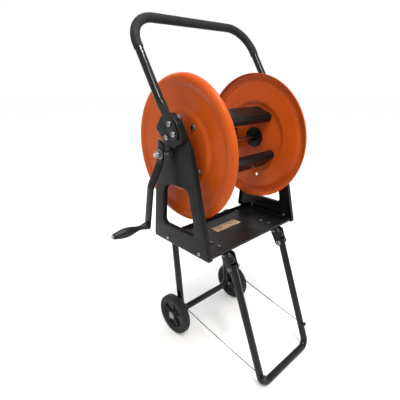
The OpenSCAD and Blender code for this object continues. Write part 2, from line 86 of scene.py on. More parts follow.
# ------------------------------------------------------------------ materials
def nodes_of(mat):
    mat.use_nodes = True
    nt = mat.node_tree
    nt.nodes.clear()
    out = nt.nodes.new("ShaderNodeOutputMaterial")
    bsdf = nt.nodes.new("ShaderNodeBsdfPrincipled")
    nt.links.new(bsdf.outputs["BSDF"], out.inputs["Surface"])
    co = nt.nodes.new("ShaderNodeTexCoord")
    return nt, bsdf, co.outputs["Object"]


def noise(nt, co, scale, detail=4.0, rough=0.55, stretch=None):
    n = nt.nodes.new("ShaderNodeTexNoise")
    n.inputs["Scale"].default_value = scale
    n.inputs["Detail"].default_value = detail
    n.inputs["Roughness"].default_value = rough
    if stretch:
        m = nt.nodes.new("ShaderNodeMapping")
        m.inputs["Scale"].default_value = stretch
        nt.links.new(co, m.inputs["Vector"])
        co = m.outputs["Vector"]
    nt.links.new(co, n.inputs["Vector"])
    return n.outputs["Fac"]


def ramp(nt, fac, stops):
    r = nt.nodes.new("ShaderNodeValToRGB")
    e = r.color_ramp.elements
    while len(e) < len(stops):
        e.new(0.5)
    for k, (pos, col) in enumerate(stops):
        e[k].position = pos
        e[k].color = (*col, 1.0) if len(col) == 3 else col
    nt.links.new(fac, r.inputs["Fac"])
    return r.outputs["Color"]


def grey(nt, fac, a, b, lo=0.3, hi=0.7):
    return ramp(nt, fac, [(lo, (a, a, a)), (hi, (b, b, b))])


def mix(nt, fac, a, b):
    m = nt.nodes.new("ShaderNodeMix")
    m.data_type = "RGBA"
    nt.links.new(fac, m.inputs[0])
    nt.links.new(a, m.inputs[6])
    nt.links.new(b, m.inputs[7])
    return m.outputs[2]


def mul(nt, a, b):
    m = nt.nodes.new("ShaderNodeMath")
    m.operation = "MULTIPLY"
    nt.links.new(a, m.inputs[0])
    nt.links.new(b, m.inputs[1])
    return m.outputs[0]


def bump(nt, bsdf, heights):
    """heights: list of (socket, strength, distance); chained bump nodes."""
    prev = None
    for h, s, d in heights:
        b = nt.nodes.new("ShaderNodeBump")
        b.inputs["Strength"].default_value = s
        b.inputs["Distance"].default_value = d
        nt.links.new(h, b.inputs["Height"])
        if prev is not None:
            nt.links.new(prev, b.inputs["Normal"])
        prev = b.outputs["Normal"]
    nt.links.new(prev, bsdf.inputs["Normal"])


def pointiness(nt):
    g = nt.nodes.new("ShaderNodeNewGeometry")
    return g.outputs["Pointiness"]


def paint(name, dark, mid, light, rough=(0.25, 0.42), peel=0.06, wear=0.35, metal=(0.30, 0.29, 0.28), coat=0.25, spec=0.5):
    m = bpy.data.materials.new(name)
    nt, b, co = nodes_of(m)
    big = noise(nt, co, 5.0, 5.0, 0.6)
    tone = ramp(nt, big, [(0.30, dark), (0.52, mid), (0.74, light)])
    scuff = noise(nt, co, 70.0, 8.0, 0.7)
    spot = ramp(nt, scuff, [(0.66, (0, 0, 0)), (0.74, (1, 1, 1))])
    edge = ramp(nt, pointiness(nt), [(0.515, (0, 0, 0)), (0.56, (wear, wear, wear))])
    worn = mul(nt, spot, edge)
    bare = ramp(nt, scuff, [(0.4, metal), (0.8, tuple(min(1.0, 1.4 * c) for c in metal))])
    nt.links.new(mix(nt, worn, tone, bare), b.inputs["Base Color"])
    haze = noise(nt, co, 22.0, 6.0, 0.65)
    nt.links.new(grey(nt, haze, rough[0], rough[1]), b.inputs["Roughness"])
    bump(nt, b, [(noise(nt, co, 520.0, 2.0, 0.5), peel, 0.0005), (noise(nt, co, 9.0, 3.0, 0.5), 0.05, 0.002)])
    b.inputs["Coat Weight"].default_value = coat
    b.inputs["Coat Roughness"].default_value = 0.16
    b.inputs["Specular IOR Level"].default_value = spec
    b.inputs["Metallic"].default_value = 0.0
    return m


def zinc(name, col=(0.34, 0.34, 0.33), dark=(0.15, 0.15, 0.145), rough=(0.24, 0.45), stretch=None):
    m = bpy.data.materials.new(name)
    nt, b, co = nodes_of(m)
    f = noise(nt, co, 140.0, 6.0, 0.7, stretch)
    tone = ramp(nt, f, [(0.30, dark), (0.62, col), (0.85, tuple(min(1.0, c * 1.18) for c in col))])
    nt.links.new(tone, b.inputs["Base Color"])
    nt.links.new(grey(nt, noise(nt, co, 320.0, 4.0), rough[0], rough[1]), b.inputs["Roughness"])
    bump(nt, b, [(noise(nt, co, 700.0, 3.0, 0.6, stretch), 0.10, 0.0003)])
    b.inputs["Metallic"].default_value = 1.0
    return m


def plastic(name, dark, light, rough=(0.42, 0.6), grain=900.0, strength=0.12, scale=30.0):
    m = bpy.data.materials.new(name)
    nt, b, co = nodes_of(m)
    tone = ramp(nt, noise(nt, co, scale, 6.0, 0.65), [(0.32, dark), (0.7, light)])
    nt.links.new(tone, b.inputs["Base Color"])
    nt.links.new(grey(nt, noise(nt, co, 60.0, 5.0), rough[0], rough[1]), b.inputs["Roughness"])
    v = nt.nodes.new("ShaderNodeTexVoronoi")
    v.inputs["Scale"].default_value = grain
    nt.links.new(co, v.inputs["Vector"])
    bump(nt, b, [(v.outputs["Distance"], strength, 0.0004), (noise(nt, co, 45.0, 4.0), 0.06, 0.001)])
    b.inputs["Specular IOR Level"].default_value = 0.25
    return m


def card(name):
    m = bpy.data.materials.new(name)
    nt, b, co = nodes_of(m)
    fibre = noise(nt, co, 300.0, 6.0, 0.7, (1.0, 0.35, 1.0))
    tone = ramp(nt, fibre, [(0.3, (0.22, 0.13, 0.06)), (0.55, (0.38, 0.24, 0.13)), (0.8, (0.50, 0.34, 0.20))])
    blot = ramp(nt, noise(nt, co, 28.0, 4.0, 0.6), [(0.52, (0, 0, 0)), (0.66, (0.75, 0.75, 0.75))])
    dark = ramp(nt, fibre, [(0.3, (0.06, 0.035, 0.02)), (0.8, (0.12, 0.07, 0.04))])
    nt.links.new(mix(nt, blot, tone, dark), b.inputs["Base Color"])
    nt.links.new(grey(nt, fibre, 0.62, 0.85), b.inputs["Roughness"])
    bump(nt, b, [(fibre, 0.2, 0.0003), (noise(nt, co, 35.0, 3.0), 0.2, 0.0015)])
    return m


M = {
    "gloss": paint("black_gloss_paint", (0.0025, 0.0025, 0.0027), (0.0040, 0.0040, 0.0042), (0.0060, 0.0060, 0.0063), rough=(0.13, 0.22), peel=0.03, wear=0.4, coat=0.05, spec=0.20),
    "satin": paint("black_satin_paint", (0.0030, 0.0030, 0.0032), (0.0050, 0.0050, 0.0052), (0.0078, 0.0078, 0.0080), rough=(0.28, 0.42), peel=0.08, wear=0.4, coat=0.0, spec=0.16),
    "orange": paint("orange_paint", (0.36, 0.052, 0.0055), (0.40, 0.062, 0.0065), (0.45, 0.074, 0.0080), rough=(0.22, 0.33), peel=0.06, wear=0.4, metal=(0.30, 0.18, 0.12), coat=0.0, spec=0.12),
    "zinc": zinc("zinc_plate"),
    "dark_zinc": zinc("dark_zinc_plate", (0.14, 0.14, 0.135), (0.06, 0.06, 0.058), (0.3, 0.5)),
    "steel": zinc("turned_steel", (0.52, 0.52, 0.51), (0.33, 0.33, 0.32), (0.2, 0.38), (1.0, 12.0, 12.0)),
    "rubber": plastic("sleeve_foam_rubber", (0.005, 0.005, 0.005), (0.010, 0.010, 0.010), (0.62, 0.82), 1400.0, 0.25),
    "tyre": plastic("tyre_rubber", (0.006, 0.006, 0.006), (0.013, 0.013, 0.0125), (0.55, 0.75), 1100.0, 0.20),
    "plastic": plastic("moulded_plastic", (0.006, 0.006, 0.006), (0.011, 0.011, 0.011), (0.34, 0.50), 1000.0, 0.10),
    "cable": plastic("sheathed_cable", (0.002, 0.002, 0.002), (0.005, 0.005, 0.005), (0.6, 0.8), 1500.0, 0.25),
    "card": card("tan_label_card"),
}

# ------------------------------------------------------------------ mesh helpers
class Build:
    """Collects vertices in mm and faces for one piece."""
    def __init__(self):
        self.v, self.f = [], []

    def add(self, verts, faces):
        k = len(self.v)
        self.v += [tuple(p) for p in verts]
        self.f += [tuple(i + k for i in f) for f in faces]
        return k

    def rings(self, rings, closed=False, caps=True):
        n = len(rings[0])
        verts = [p for r in rings for p in r]
        faces = []
        m = len(rings)
        for a in range(m if closed else m - 1):
            b = (a + 1) % m
            for j in range(n):
                faces.append((a * n + j, a * n + (j + 1) % n, b * n + (j + 1) % n, b * n + j))
        if caps and not closed:
            faces.append(tuple(range(n))[::-1])
            faces.append(tuple((m - 1) * n + j for j in range(n)))
        self.add(verts, faces)

    def mirrored(self):
        o = Build()
        o.v = [(-x, y, z) for x, y, z in self.v]
        o.f = [f[::-1] for f in self.f]
        return o

    def plus(self, other):
        self.add(other.v, other.f)
        return self


def piece(name, b, mat, body, replaces=(), angle=38.0, bevel=None):
    me = bpy.data.meshes.new(name)
    me.from_pydata([P(v) for v in b.v], [], b.f)
    bm = bmesh.new()
    bm.from_mesh(me)
    bmesh.ops.remove_doubles(bm, verts=bm.verts, dist=1e-6)
    bmesh.ops.dissolve_degenerate(bm, edges=bm.edges, dist=1e-7)
    bmesh.ops.recalc_face_normals(bm, faces=bm.faces)
    if bevel:
        bm.normal_update()
        es = [e for e in bm.edges if len(e.link_faces) == 2 and e.calc_face_angle(0.0) > radians(32)]
        bmesh.ops.bevel(bm, geom=es, offset=bevel * 0.001, segments=2, profile=0.6, affect="EDGES", clamp_overlap=True)
    bm.to_mesh(me)
    bm.free()
    me.polygons.foreach_set("use_smooth", [True] * len(me.polygons))
    me.set_sharp_from_angle(angle=radians(angle))
    me.materials.append(M[mat])
    ob = bpy.data.objects.new(name, me)
    scene.collection.objects.link(ob)
    if body:
        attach(ob, body)
    if replaces:
        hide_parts(*replaces)
    return ob


def soften(node, mat, body, width=0.4, angle=38.0):
    """A finished copy of a small CAD node: coplanar faces joined and every sharp edge rounded."""
    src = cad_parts[node]
    bm = bmesh.new()
    bm.from_mesh(src.data)
    bmesh.ops.remove_doubles(bm, verts=bm.verts, dist=2e-6)
    bmesh.ops.dissolve_limit(bm, angle_limit=radians(1.0), verts=bm.verts, edges=bm.edges)
    bm.normal_update()
    es = [e for e in bm.edges if len(e.link_faces) == 2 and e.calc_face_angle(0.0) > radians(32)]
    bmesh.ops.bevel(bm, geom=es, offset=width * 0.001, segments=2, profile=0.6, affect="EDGES", clamp_overlap=True)
    me = bpy.data.meshes.new(node + "_finished")
    bm.to_mesh(me)
    bm.free()
    me.polygons.foreach_set("use_smooth", [True] * len(me.polygons))
    me.set_sharp_from_angle(angle=radians(angle))
    me.materials.clear()
    me.materials.append(M[mat])
    ob = bpy.data.objects.new(node + "_finished", me)
    scene.collection.objects.link(ob)
    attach(ob, body)
    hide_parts(node)
    return ob


def fillet(poly, closed, n=8):
    """Rounds the corners of [x, y, r] points; returns (x, y) points."""
    out = []
    m = len(poly)
    for i, q in enumerate(poly):
        p = Vector(q[:2])
        r = q[2] if len(q) > 2 else 0
        if r <= 0 or (not closed and i in (0, m - 1)):
            out.append(tuple(p))
            continue
        u = (Vector(poly[(i - 1) % m][:2]) - p).normalized()
        w = (Vector(poly[(i + 1) % m][:2]) - p).normalized()
        h = math.acos(max(-1, min(1, u.dot(w)))) / 2
        d = r / tan(h)
        c = p + (u + w).normalized() * (r / sin(h))
        s, e = p + u * d - c, p + w * d - c
        a0, a1 = atan2(s.y, s.x), atan2(e.y, e.x)
        da = (a1 - a0 + pi) % (2 * pi) - pi
        out += [(c.x + r * cos(a0 + da * k / n), c.y + r * sin(a0 + da * k / n)) for k in range(n + 1)]
    return out


def area2(p):
    return sum(p[i][0] * p[(i + 1) % len(p)][1] - p[(i + 1) % len(p)][0] * p[i][1] for i in range(len(p)))


def inset(p, t):
    """Miter inset of a closed counter-clockwise polygon (positive goes in)."""
    m = len(p)
    out = []
    for i in range(m):
        a = Vector(p[i]) - Vector(p[i - 1])
        b = Vector(p[(i + 1) % m]) - Vector(p[i])
        if a.length < 1e-9 or b.length < 1e-9:
            a = b = (a if a.length > b.length else b)
        a.normalize(); b.normalize()
        na, nb = Vector((-a.y, a.x)), Vector((-b.y, b.x))
        out.append(tuple(Vector(p[i]) + (na + nb) * (t / max(0.25, 1 + a.dot(b)))))
    return out


def ccw(p):
    return p if area2(p) > 0 else p[::-1]


def dense(p, step):
    """Adds points on the long sides of a closed polygon."""
    out = []
    for i in range(len(p)):
        a, b = Vector(p[i]), Vector(p[(i + 1) % len(p)])
        k = max(1, int((b - a).length / step))
        out += [tuple(a + (b - a) * j / k) for j in range(k)]
    return out


def fill(b, loops, x):
    """Flat face in the plane x = const from an outer loop and hole loops of (y, z)."""
    tri = tessellate_polygon([[Vector((p[0], p[1], 0)) for p in l] for l in loops])
    verts = [(x, p[0], p[1]) for l in loops for p in l]
    b.add(verts, [tuple(t) for t in tri])


def arc(n, a0=0.0, a1=90.0):
    return [(cos(radians(a0 + (a1 - a0) * k / n)), sin(radians(a0 + (a1 - a0) * k / n))) for k in range(n + 1)]


def lathe(b, prof, yz=(0.0, 0.0), segs=64, closed=True, axis="x"):
    """prof: (x, r) points; turned about an axis along X at (y, z)."""
    rings = []
    for k in range(segs):
        a = 2 * pi * k / segs
        rings.append([(x, yz[0] + r * cos(a), yz[1] + r * sin(a)) for x, r in prof])
    n = len(prof)
    verts = [p for r in rings for p in r]
    faces = []
    for a in range(segs):
        c = (a + 1) % segs
        for j in range(n if closed else n - 1):
            jn = (j + 1) % n
            faces.append((a * n + j, a * n + jn, c * n + jn, c * n + j))
    b.add(verts, faces)
    return b


def turned(profile, c=0.5):
    """A solid turned part: outline (x, r) from the axis out, chamfered with radius c at every corner off the axis."""
    pts = []
    m = len(profile)
    for i, (x, r) in enumerate(profile):
        if 0 < i < m - 1:
            pts.append((x, r, c))
        else:
            pts.append((x, r, 0))
    return fillet(pts, False, 3)


def path3(pts, radii, n=10, step=18.0):
    """Polyline with rounded corners in 3D; straight stretches are cut about every step mm."""
    pts = [Vector(p) for p in pts]
    out = [pts[0]]
    for i in range(1, len(pts) - 1):
        p, r = pts[i], radii[i - 1]
        u, w = (pts[i - 1] - p).normalized(), (pts[i + 1] - p).normalized()
        h = math.acos(max(-1, min(1, u.dot(w)))) / 2
        d = r / tan(h)
        c = p + (u + w).normalized() * (r / sin(h))
        s, e = p + u * d - c, p + w * d - c
        ang = pi - 2 * h
        for k in range(n + 1):
            t = k / n
            out.append(c + (s * sin((1 - t) * ang) + e * sin(t * ang)) / sin(ang))
    out.append(pts[-1])
    full = [out[0]]
    for a, b_ in zip(out, out[1:]):
        L = (b_ - a).length
        if L < 1e-6:
            continue
        k = max(1, int(L / step))
        full += [a + (b_ - a) * j / k for j in range(1, k + 1)]
    return full


def frames(path, N):
    N = Vector(N).normalized()
    out, s = [], 0.0
    for i, p in enumerate(path):
        t = (path[min(i + 1, len(path) - 1)] - path[max(i - 1, 0)]).normalized()
        S = t.cross(N).normalized()
        if i:
            s += (p - path[i - 1]).length
        out.append((p, t, S, N, s))
    return out


def tube(b, path, N, r, wall=1.5, segs=28, lip=0.4):
    """Open tube along a planar path, with rounded rims and its bore."""
    fr = frames(path, N)
    rings = []
    def ring(f, rad, push=0.0):
        p, t, S, n, _ = f
        return [p + t * push + S * (rad * cos(2 * pi * j / segs)) + n * (rad * sin(2 * pi * j / segs)) for j in range(segs)]
    rings.append(ring(fr[0], r - lip, 0.0))
    rings.append(ring(fr[0], r, lip))
    rings += [ring(f, r) for f in fr[1:-1]]
    rings.append(ring(fr[-1], r, -lip))
    rings.append(ring(fr[-1], r - lip, 0.0))
    rings.append(ring(fr[-1], r - wall, 0.0))
    rings += [ring(f, r - wall) for f in fr[-2:0:-1]]
    rings.append(ring(fr[0], r - wall, 0.0))
    b.rings(rings, closed=True)
    return b


def box(b, lo, hi, r=0.6):
    """Rounded rectangular block: eight chamfered corners."""
    c = [(lo[k] + hi[k]) / 2 for k in range(3)]
    h = [(hi[k] - lo[k]) / 2 for k in range(3)]
    r = min(r, min(h) * 0.9)
    prof = fillet([(-h[0], -h[1], r), (h[0], -h[1], r), (h[0], h[1], r), (-h[0], h[1], r)], True, 3)
    ins = inset(ccw(prof), r)
    prof = ccw(prof)
    rings = [[(c[0] + x, c[1] + y, c[2] - h[2]) for x, y in ins], [(c[0] + x, c[1] + y, c[2] - h[2] + r) for x, y in prof],
             [(c[0] + x, c[1] + y, c[2] + h[2] - r) for x, y in prof], [(c[0] + x, c[1] + y, c[2] + h[2]) for x, y in ins]]
    b.rings(rings)
    return b


def plate(b, outline, x0, x1, e=0.5, holes=()):
    """Flat plate from a (y, z) outline with rounded edges, optional round holes (y, z, r)."""
    o = ccw(outline)
    secs = [(e, x0), (0.3 * e, x0 + 0.3 * e), (0, x0 + e), (0, x1 - e), (0.3 * e, x1 - 0.3 * e), (e, x1)]
    rings = [[(x, p[0], p[1]) for p in inset(o, t)] for t, x in secs]
    b.rings(rings, caps=False)
    hl = [[(h[0] + h[2] * cos(2 * pi * k / 24), h[1] + h[2] * sin(2 * pi * k / 24)) for k in range(24)] for h in holes]
    for h in hl:
        b.rings([[(x, p[0], p[1]) for p in h] for x in (x0, x1)], caps=False)
    fill(b, [inset(o, e)] + hl, x0)
    fill(b, [inset(o, e)] + hl, x1)
    return b


def hexprism(b, x0, x1, af, y, z, turn=0.0, out=-1, dome=0.9):
    """Hex head or nut along X; its outer end is chamfered as by a cone. af: across corners diameter."""
    xa, xb = (x1, x0) if out < 0 else (x0, x1)
    n = 48
    def rad(k):
        a = (360.0 * k / n - turn) % 60 - 30
        return af / 2 * cos(radians(30)) / cos(radians(a))
    def ring(x, f):
        return [(x, y + f(k) * cos(2 * pi * k / n), z + f(k) * sin(2 * pi * k / n)) for k in range(n)]
    ri = af / 2 * cos(radians(30)) - 0.2
    s = -1 if out < 0 else 1
    rings = [ring(xa, lambda k: rad(k) - 0.3), ring(xa + s * 0.3, rad), ring(xb - s * dome, lambda k: rad(k)),
             ring(xb - s * 0.45 * dome, lambda k: min(rad(k), ri + 0.45)), ring(xb, lambda k: min(rad(k), ri)), ring(xb - s * 0.25, lambda k: ri * 0.62), ]
    b.rings(rings)
    return b


def button(b, x0, out, d, h, y, z, socket=True):
    """Low round head on a face at x0, domed outward, with a drive recess."""
    s = -1 if out < 0 else 1
    R = d / 2
    prof = [(x0, 0.0), (x0, R), (x0 + s * 0.22 * h, R), (x0 + s * 0.55 * h, R * 0.93), (x0 + s * 0.82 * h, R * 0.76), (x0 + s * 0.96 * h, R * 0.52), (x0 + s * h, R * 0.36)]
    if socket:
        prof += [(x0 + s * 0.55 * h, R * 0.33), (x0 + s * 0.5 * h, 0.0)]
    else:
        prof += [(x0 + s * h, 0.0)]
    lathe(b, [(x, max(r, 0.01)) for x, r in prof], (y, z), 36, closed=False)
    return b


def washer(b, x0, x1, d, di, y, z):
    lathe(b, fillet([(x0, di / 2, 0.1), (x0, d / 2, 0.3), (x1, d / 2, 0.3), (x1, di / 2, 0.1)], True, 3), (y, z), 40)
    return b


def shank(b, x0, x1, d, y, z, pitch=1.25):
    """Threaded shank: fine ridges."""
    prof = [(x0, 0.01), (x0, d / 2 - 0.5)]
    n = max(2, int(abs(x1 - x0) / pitch))
    for k in range(n):
        x = x0 + (x1 - x0) * (k + 0.5) / n
        prof += [(x - 0.3 * pitch * (1 if x1 > x0 else -1), d / 2 - 0.35), (x, d / 2)]
    prof += [(x1, d / 2 - 0.6), (x1, 0.01)]
    lathe(b, prof, (y, z), 24, closed=False)
    return b


def both(fn):
    b = Build(); fn(b)
    m = b.mirrored()
    return b.plus(m)


S, R, G, F, WL, WR = "stand", "reel", "crank_handle", "front_stand", "wheel_left", "wheel_right"

# ------------------------------------------------------------------ side plates
plate_line = [(-157.6, PLATE_Z, 5), (87, PLATE_Z, 8), (70, 541, 120), (50, 628, 90), (22, 694, 20),
              (14, 736, 22), (-14, 756, 14), (-44, 750, 12), (-60, 722, 24), (-88, 679, 80)]
arch_line = [(-102, 449, 12), (39, 449, 14), (25, 575, 34), (-74, 575, 18)]
OUT = ccw(dense(fillet(plate_line, True, 10), 12.0))
ARCH = ccw(dense(fillet(arch_line, True, 10), 12.0))


def side_plate(b):
    t, lip, rr = PLATE_T, PLATE_LIP, 3.2
    x0 = -PX
    sec = [(rr * (1 - c), x0 + rr * (1 - s)) for c, s in arc(5, 90, 0)]      # outer bend: face to wall
    sec = [(rr - rr * sin(radians(90 * k / 5)), x0 + rr - rr * cos(radians(90 * k / 5))) for k in range(6)]
    sec += [(0, x0 + lip - 0.5), (0.5, x0 + lip), (t - 0.5, x0 + lip), (t, x0 + lip - 0.5)]
    ri = rr - t + 0.6
    sec += [(t + ri - ri * sin(radians(90 * (5 - k) / 5)), x0 + t + ri - ri * cos(radians(90 * (5 - k) / 5))) for k in range(6)]
    rings = [[(x, p[0], p[1]) for p in inset(OUT, d)] for d, x in sec]
    b.rings(rings, caps=False)
    rings2 = [[(x, p[0], p[1]) for p in inset(ARCH, -d)] for d, x in sec]
    b.rings([r[::-1] for r in rings2], caps=False)
    hole = [(12 * cos(2 * pi * k / 40), AXIS_Z + 12 * sin(2 * pi * k / 40)) for k in range(40)]
    b.rings([[(x, p[0], p[1]) for p in hole] for x in (x0, x0 + t)], caps=False)
    fill(b, [inset(OUT, sec[0][0]), inset(ARCH, -sec[0][0]), hole], x0)
    fill(b, [inset(OUT, sec[-1][0]), inset(ARCH, -sec[-1][0]), hole], x0 + t)


b = Build(); side_plate(b)
piece("side_plate_left_pressed", b, "satin", S, ["side_plate_left"])
piece("side_plate_right_pressed", b.mirrored(), "satin", S, ["side_plate_right"])

# ------------------------------------------------------------------ handle brackets
bracket_line = [(-40, 682, 14), (-6, 698, 8), (27, 727, 10), (-2, 764, 24), (-34, 769, 14), (-62, 746, 16), (-84, 702, 12)]
BR = ccw(dense(fillet(bracket_line, True, 8), 6.0))


def bracket(b):
    x0, x1, t, rr = -HX + 5.0, -PX, 2.5, 4.5
    sec = [(rr - rr * sin(radians(90 * k / 6)), x0 + rr - rr * cos(radians(90 * k / 6))) for k in range(7)]
    sec += [(0, x1 - 0.4), (0.4, x1), (t - 0.4, x1), (t, x1 - 0.4), (t, x0 + t + 2.2)]
    sec += [(t + 2.2 - 2.2 * cos(radians(90 * k / 4)), x0 + t + 2.2 - 2.2 * sin(radians(90 * k / 4))) for k in range(1, 5)]
    rings = [[(x, p[0], p[1]) for p in inset(BR, d)] for d, x in sec]
    b.rings(rings, caps=False)
    fill(b, [inset(BR, sec[0][0])], x0)
    fill(b, [inset(BR, sec[-1][0])], x0 + t)


b = Build(); bracket(b)
piece("handle_bracket_left_pressed", b, "satin", S, ["handle_bracket_left"])
piece("handle_bracket_right_pressed", b.mirrored(), "satin", S, ["handle_bracket_right"])

# ------------------------------------------------------------------ handle
head_bolts = [hp(300)[1:], hp(328)[1:], (-20, 707)]
HN = Vector((0, -cos(radians(HA)), sin(radians(HA))))
HDIR = Vector((0, -sin(radians(HA)), -cos(radians(HA))))
s_end = 344.0
hpath = path3([hp(s_end, HX), hp(0, HX), hp(0, -HX), hp(s_end, -HX)], [HANDLE_R, HANDLE_R], 22, 7.0)


def handle(b):
    fr = frames(hpath, HN)
    total = fr[-1][4]
    n = 40
    rings = []
    for p, t, Sd, N, s in fr:
        side = 1 if s < total / 2 else -1
        d = min(s, total - s)                    # distance from the nearer end
        w = max(0.0, min(1.0, (d - (s_end - 264.0)) / 26.0))
        w = w * w * (3 - 2 * w)                  # 0 flat, 1 round
        a = 3.0 + 8.0 * w
        c = 14.0 - 3.0 * w
        if d < 14.0:
            c = max(0.8, sqrt(max(0.0, 14.0 ** 2 - (14.0 - d) ** 2)))
            a = min(a, 3.0) if d > 1.0 else 2.2
        ex = 2.0 + 5.0 * (1 - w)
        shift = Vector((-2.0 * side * (1 - w), 0, 0))
        ring = []
        for j in range(n):
            th = 2 * pi * j / n
            ca, sa = cos(th), sin(th)
            ring.append(p + shift + Sd * (a * math.copysign(abs(ca) ** (2 / ex), ca)) + N * (c * math.copysign(abs(sa) ** (2 / ex), sa)))
        rings.append(ring)
    b.rings(rings)


b = Build(); handle(b)
piece("handle_tube_bent", b, "gloss", S, ["handle_tube"])


def sleeve(b):
    l = HANDLE_R + 12
    path = path3([hp(l, HX), hp(0, HX), hp(0, -HX), hp(l, -HX)], [HANDLE_R, HANDLE_R], 26, 9.0)
    fr = frames(path, HN)
    n = 40
    ro, ri = SLEEVE_D / 2 - 1.1, TUBE_D / 2 + 0.05
    def ring(f, rad, push=0.0):
        p, t, Sd, N, s = f
        w = 0.0 if rad < TUBE_D / 2 + 0.3 else 0.08 * sin(s * 0.11) + 0.05 * sin(s * 0.37 + 1.0)
        return [p + t * push + Sd * ((rad + w) * cos(2 * pi * j / n)) + N * ((rad + w) * sin(2 * pi * j / n)) for j in range(n)]
    rings = [ring(fr[0], ri, 0.4), ring(fr[0], ri + 0.5, 0.0), ring(fr[0], ro - 0.6, 0.1), ring(fr[0], ro - 0.25, 0.7), ring(fr[0], ro - 0.12, 1.8)]
    rings += [ring(f, ro - 0.12) for f in fr[1:-1]]
    rings += [ring(fr[-1], ro - 0.12, -1.8), ring(fr[-1], ro - 0.25, -0.7), ring(fr[-1], ro - 0.6, -0.1), ring(fr[-1], ri + 0.5, 0.0), ring(fr[-1], ri, -0.4)]
    b.rings(rings, caps=False)
    b.rings([ring(f, ri) for f in (fr[-1], fr[-2])], caps=False)
    b.rings([ring(f, ri) for f in (fr[1], fr[0])], caps=False)


b = Build(); sleeve(b)
piece("handle_sleeve_foam", b, "rubber", S, ["handle_sleeve"])


def hb(b):
    for y, z in head_bolts[:2]:
        washer(b, -HX - 2.2, -HX - 1, 15, 8, y, z)
        button(b, -HX - 2.2, -1, 13.6, 3.3, y, z)
        shank(b, -HX + 13.4, -HX + 16, 8, y, z)
    y, z = head_bolts[2]
    washer(b, -HX + 3.8, -HX + 5, 15, 8, y, z)
    button(b, -HX + 3.8, -1, 13.6, 3.3, y, z)
    shank(b, -PX + 7.9, -PX + 12, 8, y, z)


piece("handle_bolts_set", both(hb), "zinc", S, ["handle_bolts"], 30)


def hn(b):
    for i, (y, z) in enumerate(head_bolts):
        x = -PX + PLATE_T if i == 2 else -HX + 7.5
        hexprism(b, x, x + 6, 15, y, z, 12, 1)


piece("handle_nuts_set", both(hn), "zinc", S, ["handle_nuts"], 30)

# ------------------------------------------------------------------ tray
def extr(b, prof, x0, x1, e=0.4):
    o = ccw(prof)
    rings = [[(x, p[0], p[1]) for p in inset(o, t)] for t, x in ((e, x0), (0, x0 + e), (0, x1 - e), (e, x1))]
    b.rings(rings, caps=False)
    fill(b, [inset(o, e)], x0)
    fill(b, [inset(o, e)], x1)


def strip(points, t, r, n=6):
    """Closed outline of a bent sheet of thickness t to the left of the filleted line."""
    line = fillet([(p[0], p[1], r if 0 < i < len(points) - 1 else 0) for i, p in enumerate(points)], False, n)
    m = len(line)
    off = []
    for i in range(m):
        a = Vector(line[i]) - Vector(line[i - 1]) if i else Vector(line[1]) - Vector(line[0])
        c = Vector(line[i + 1]) - Vector(line[i]) if i < m - 1 else Vector(line[-1]) - Vector(line[-2])
        a.normalize(); c.normalize()
        na, nc = Vector((-a.y, a.x)), Vector((-c.y, c.x))
        off.append(tuple(Vector(line[i]) + (na + nc) * (t / max(0.3, 1 + a.dot(c)))))
    return line + off[::-1]


def tray(b):
    x1 = PX - PLATE_T
    extr(b, strip([(-152, TRAY_Z + 10), (-152, TRAY_Z), (47, TRAY_Z), (47, TRAY_Z + 12)], 2.0, 4.5), -x1, x1)
    for s in (-1, 1):
        o = fillet([(-140, TRAY_Z + 0.5, 0), (36, TRAY_Z + 0.5, 0), (36, TRAY_Z + 24, 6), (-140, TRAY_Z + 24, 6)], True, 5)
        xa, xb = sorted((s * x1, s * (x1 - 2)))
        plate(b, dense(o, 14), xa, xb, 0.4)
        # inner bend radius between floor and end flange
        for k in range(5):
            pass
        q = [(-139.5, 0), (35.5, 0)]
        rr = 2.5
        rings = []
        for yy in (-139.5, 35.5):
            pts = [(s * (x1 - 2), yy, TRAY_Z + 2), ] + [(s * (x1 - 2 - rr + rr * sin(radians(90 * k / 5))), yy, TRAY_Z + 2 + rr - rr * cos(radians(90 * k / 5))) for k in range(6)]
            rings.append(pts)
        b.rings(rings)


b = Build(); tray(b)
piece("tray_floor_folded", b, "satin", S, ["tray_floor"])


def label(b):
    nx, ny = 44, 14
    x0, y0, w, h = -55.0, -44.0, 110.0, 33.0
    z0 = TRAY_Z + 2.0
    top, bot = [], []
    for i in range(nx + 1):
        for j in range(ny + 1):
            u, v = i / nx, j / ny
            x, y = x0 + w * u, y0 + h * v
            lift = 0.55 * max(0, (u - 0.86) / 0.14) ** 2 * (0.4 + 0.6 * v) + 0.45 * max(0, (0.1 - u) / 0.1) ** 2 * v
            z = z0 + 0.35 + 0.12 * sin(x * 0.21) * sin(y * 0.33 + 1) + lift
            top.append((x, y, min(z, z0 + 0.6 + 0.0 + lift)))
            bot.append((x, y, max(z0 + 0.02, z - 0.3)))
    n1 = ny + 1
    faces = []
    for i in range(nx):
        for j in range(ny):
            faces.append((i * n1 + j, (i + 1) * n1 + j, (i + 1) * n1 + j + 1, i * n1 + j + 1))
    k = len(top)
    faces += [tuple(q + k for q in f[::-1]) for f in faces]
    rim = [(i, 0) for i in range(nx)] + [(nx, j) for j in range(ny)] + [(i, ny) for i in range(nx, 0, -1)] + [(0, j) for j in range(ny, 0, -1)]
    ids = [i * n1 + j for i, j in rim]
    for a in range(len(ids)):
        c = ids[(a + 1) % len(ids)]
        faces.append((ids[a], ids[a] + k, c + k, c))
    b.add(top + bot, faces)


b = Build(); label(b)
piece("tray_label_card", b, "card", S, ["tray_label"])
TB = [(-117, 405), (20, 405)]


def tb(b):
    for y, z in TB:
        button(b, -PX, -1, 11.5, 4, y, z)
        shank(b, -PX + 8.4, -PX + 10, 6, y, z, 1.0)


piece("tray_bolts_set", both(tb), "zinc", S, ["tray_bolts"], 30)


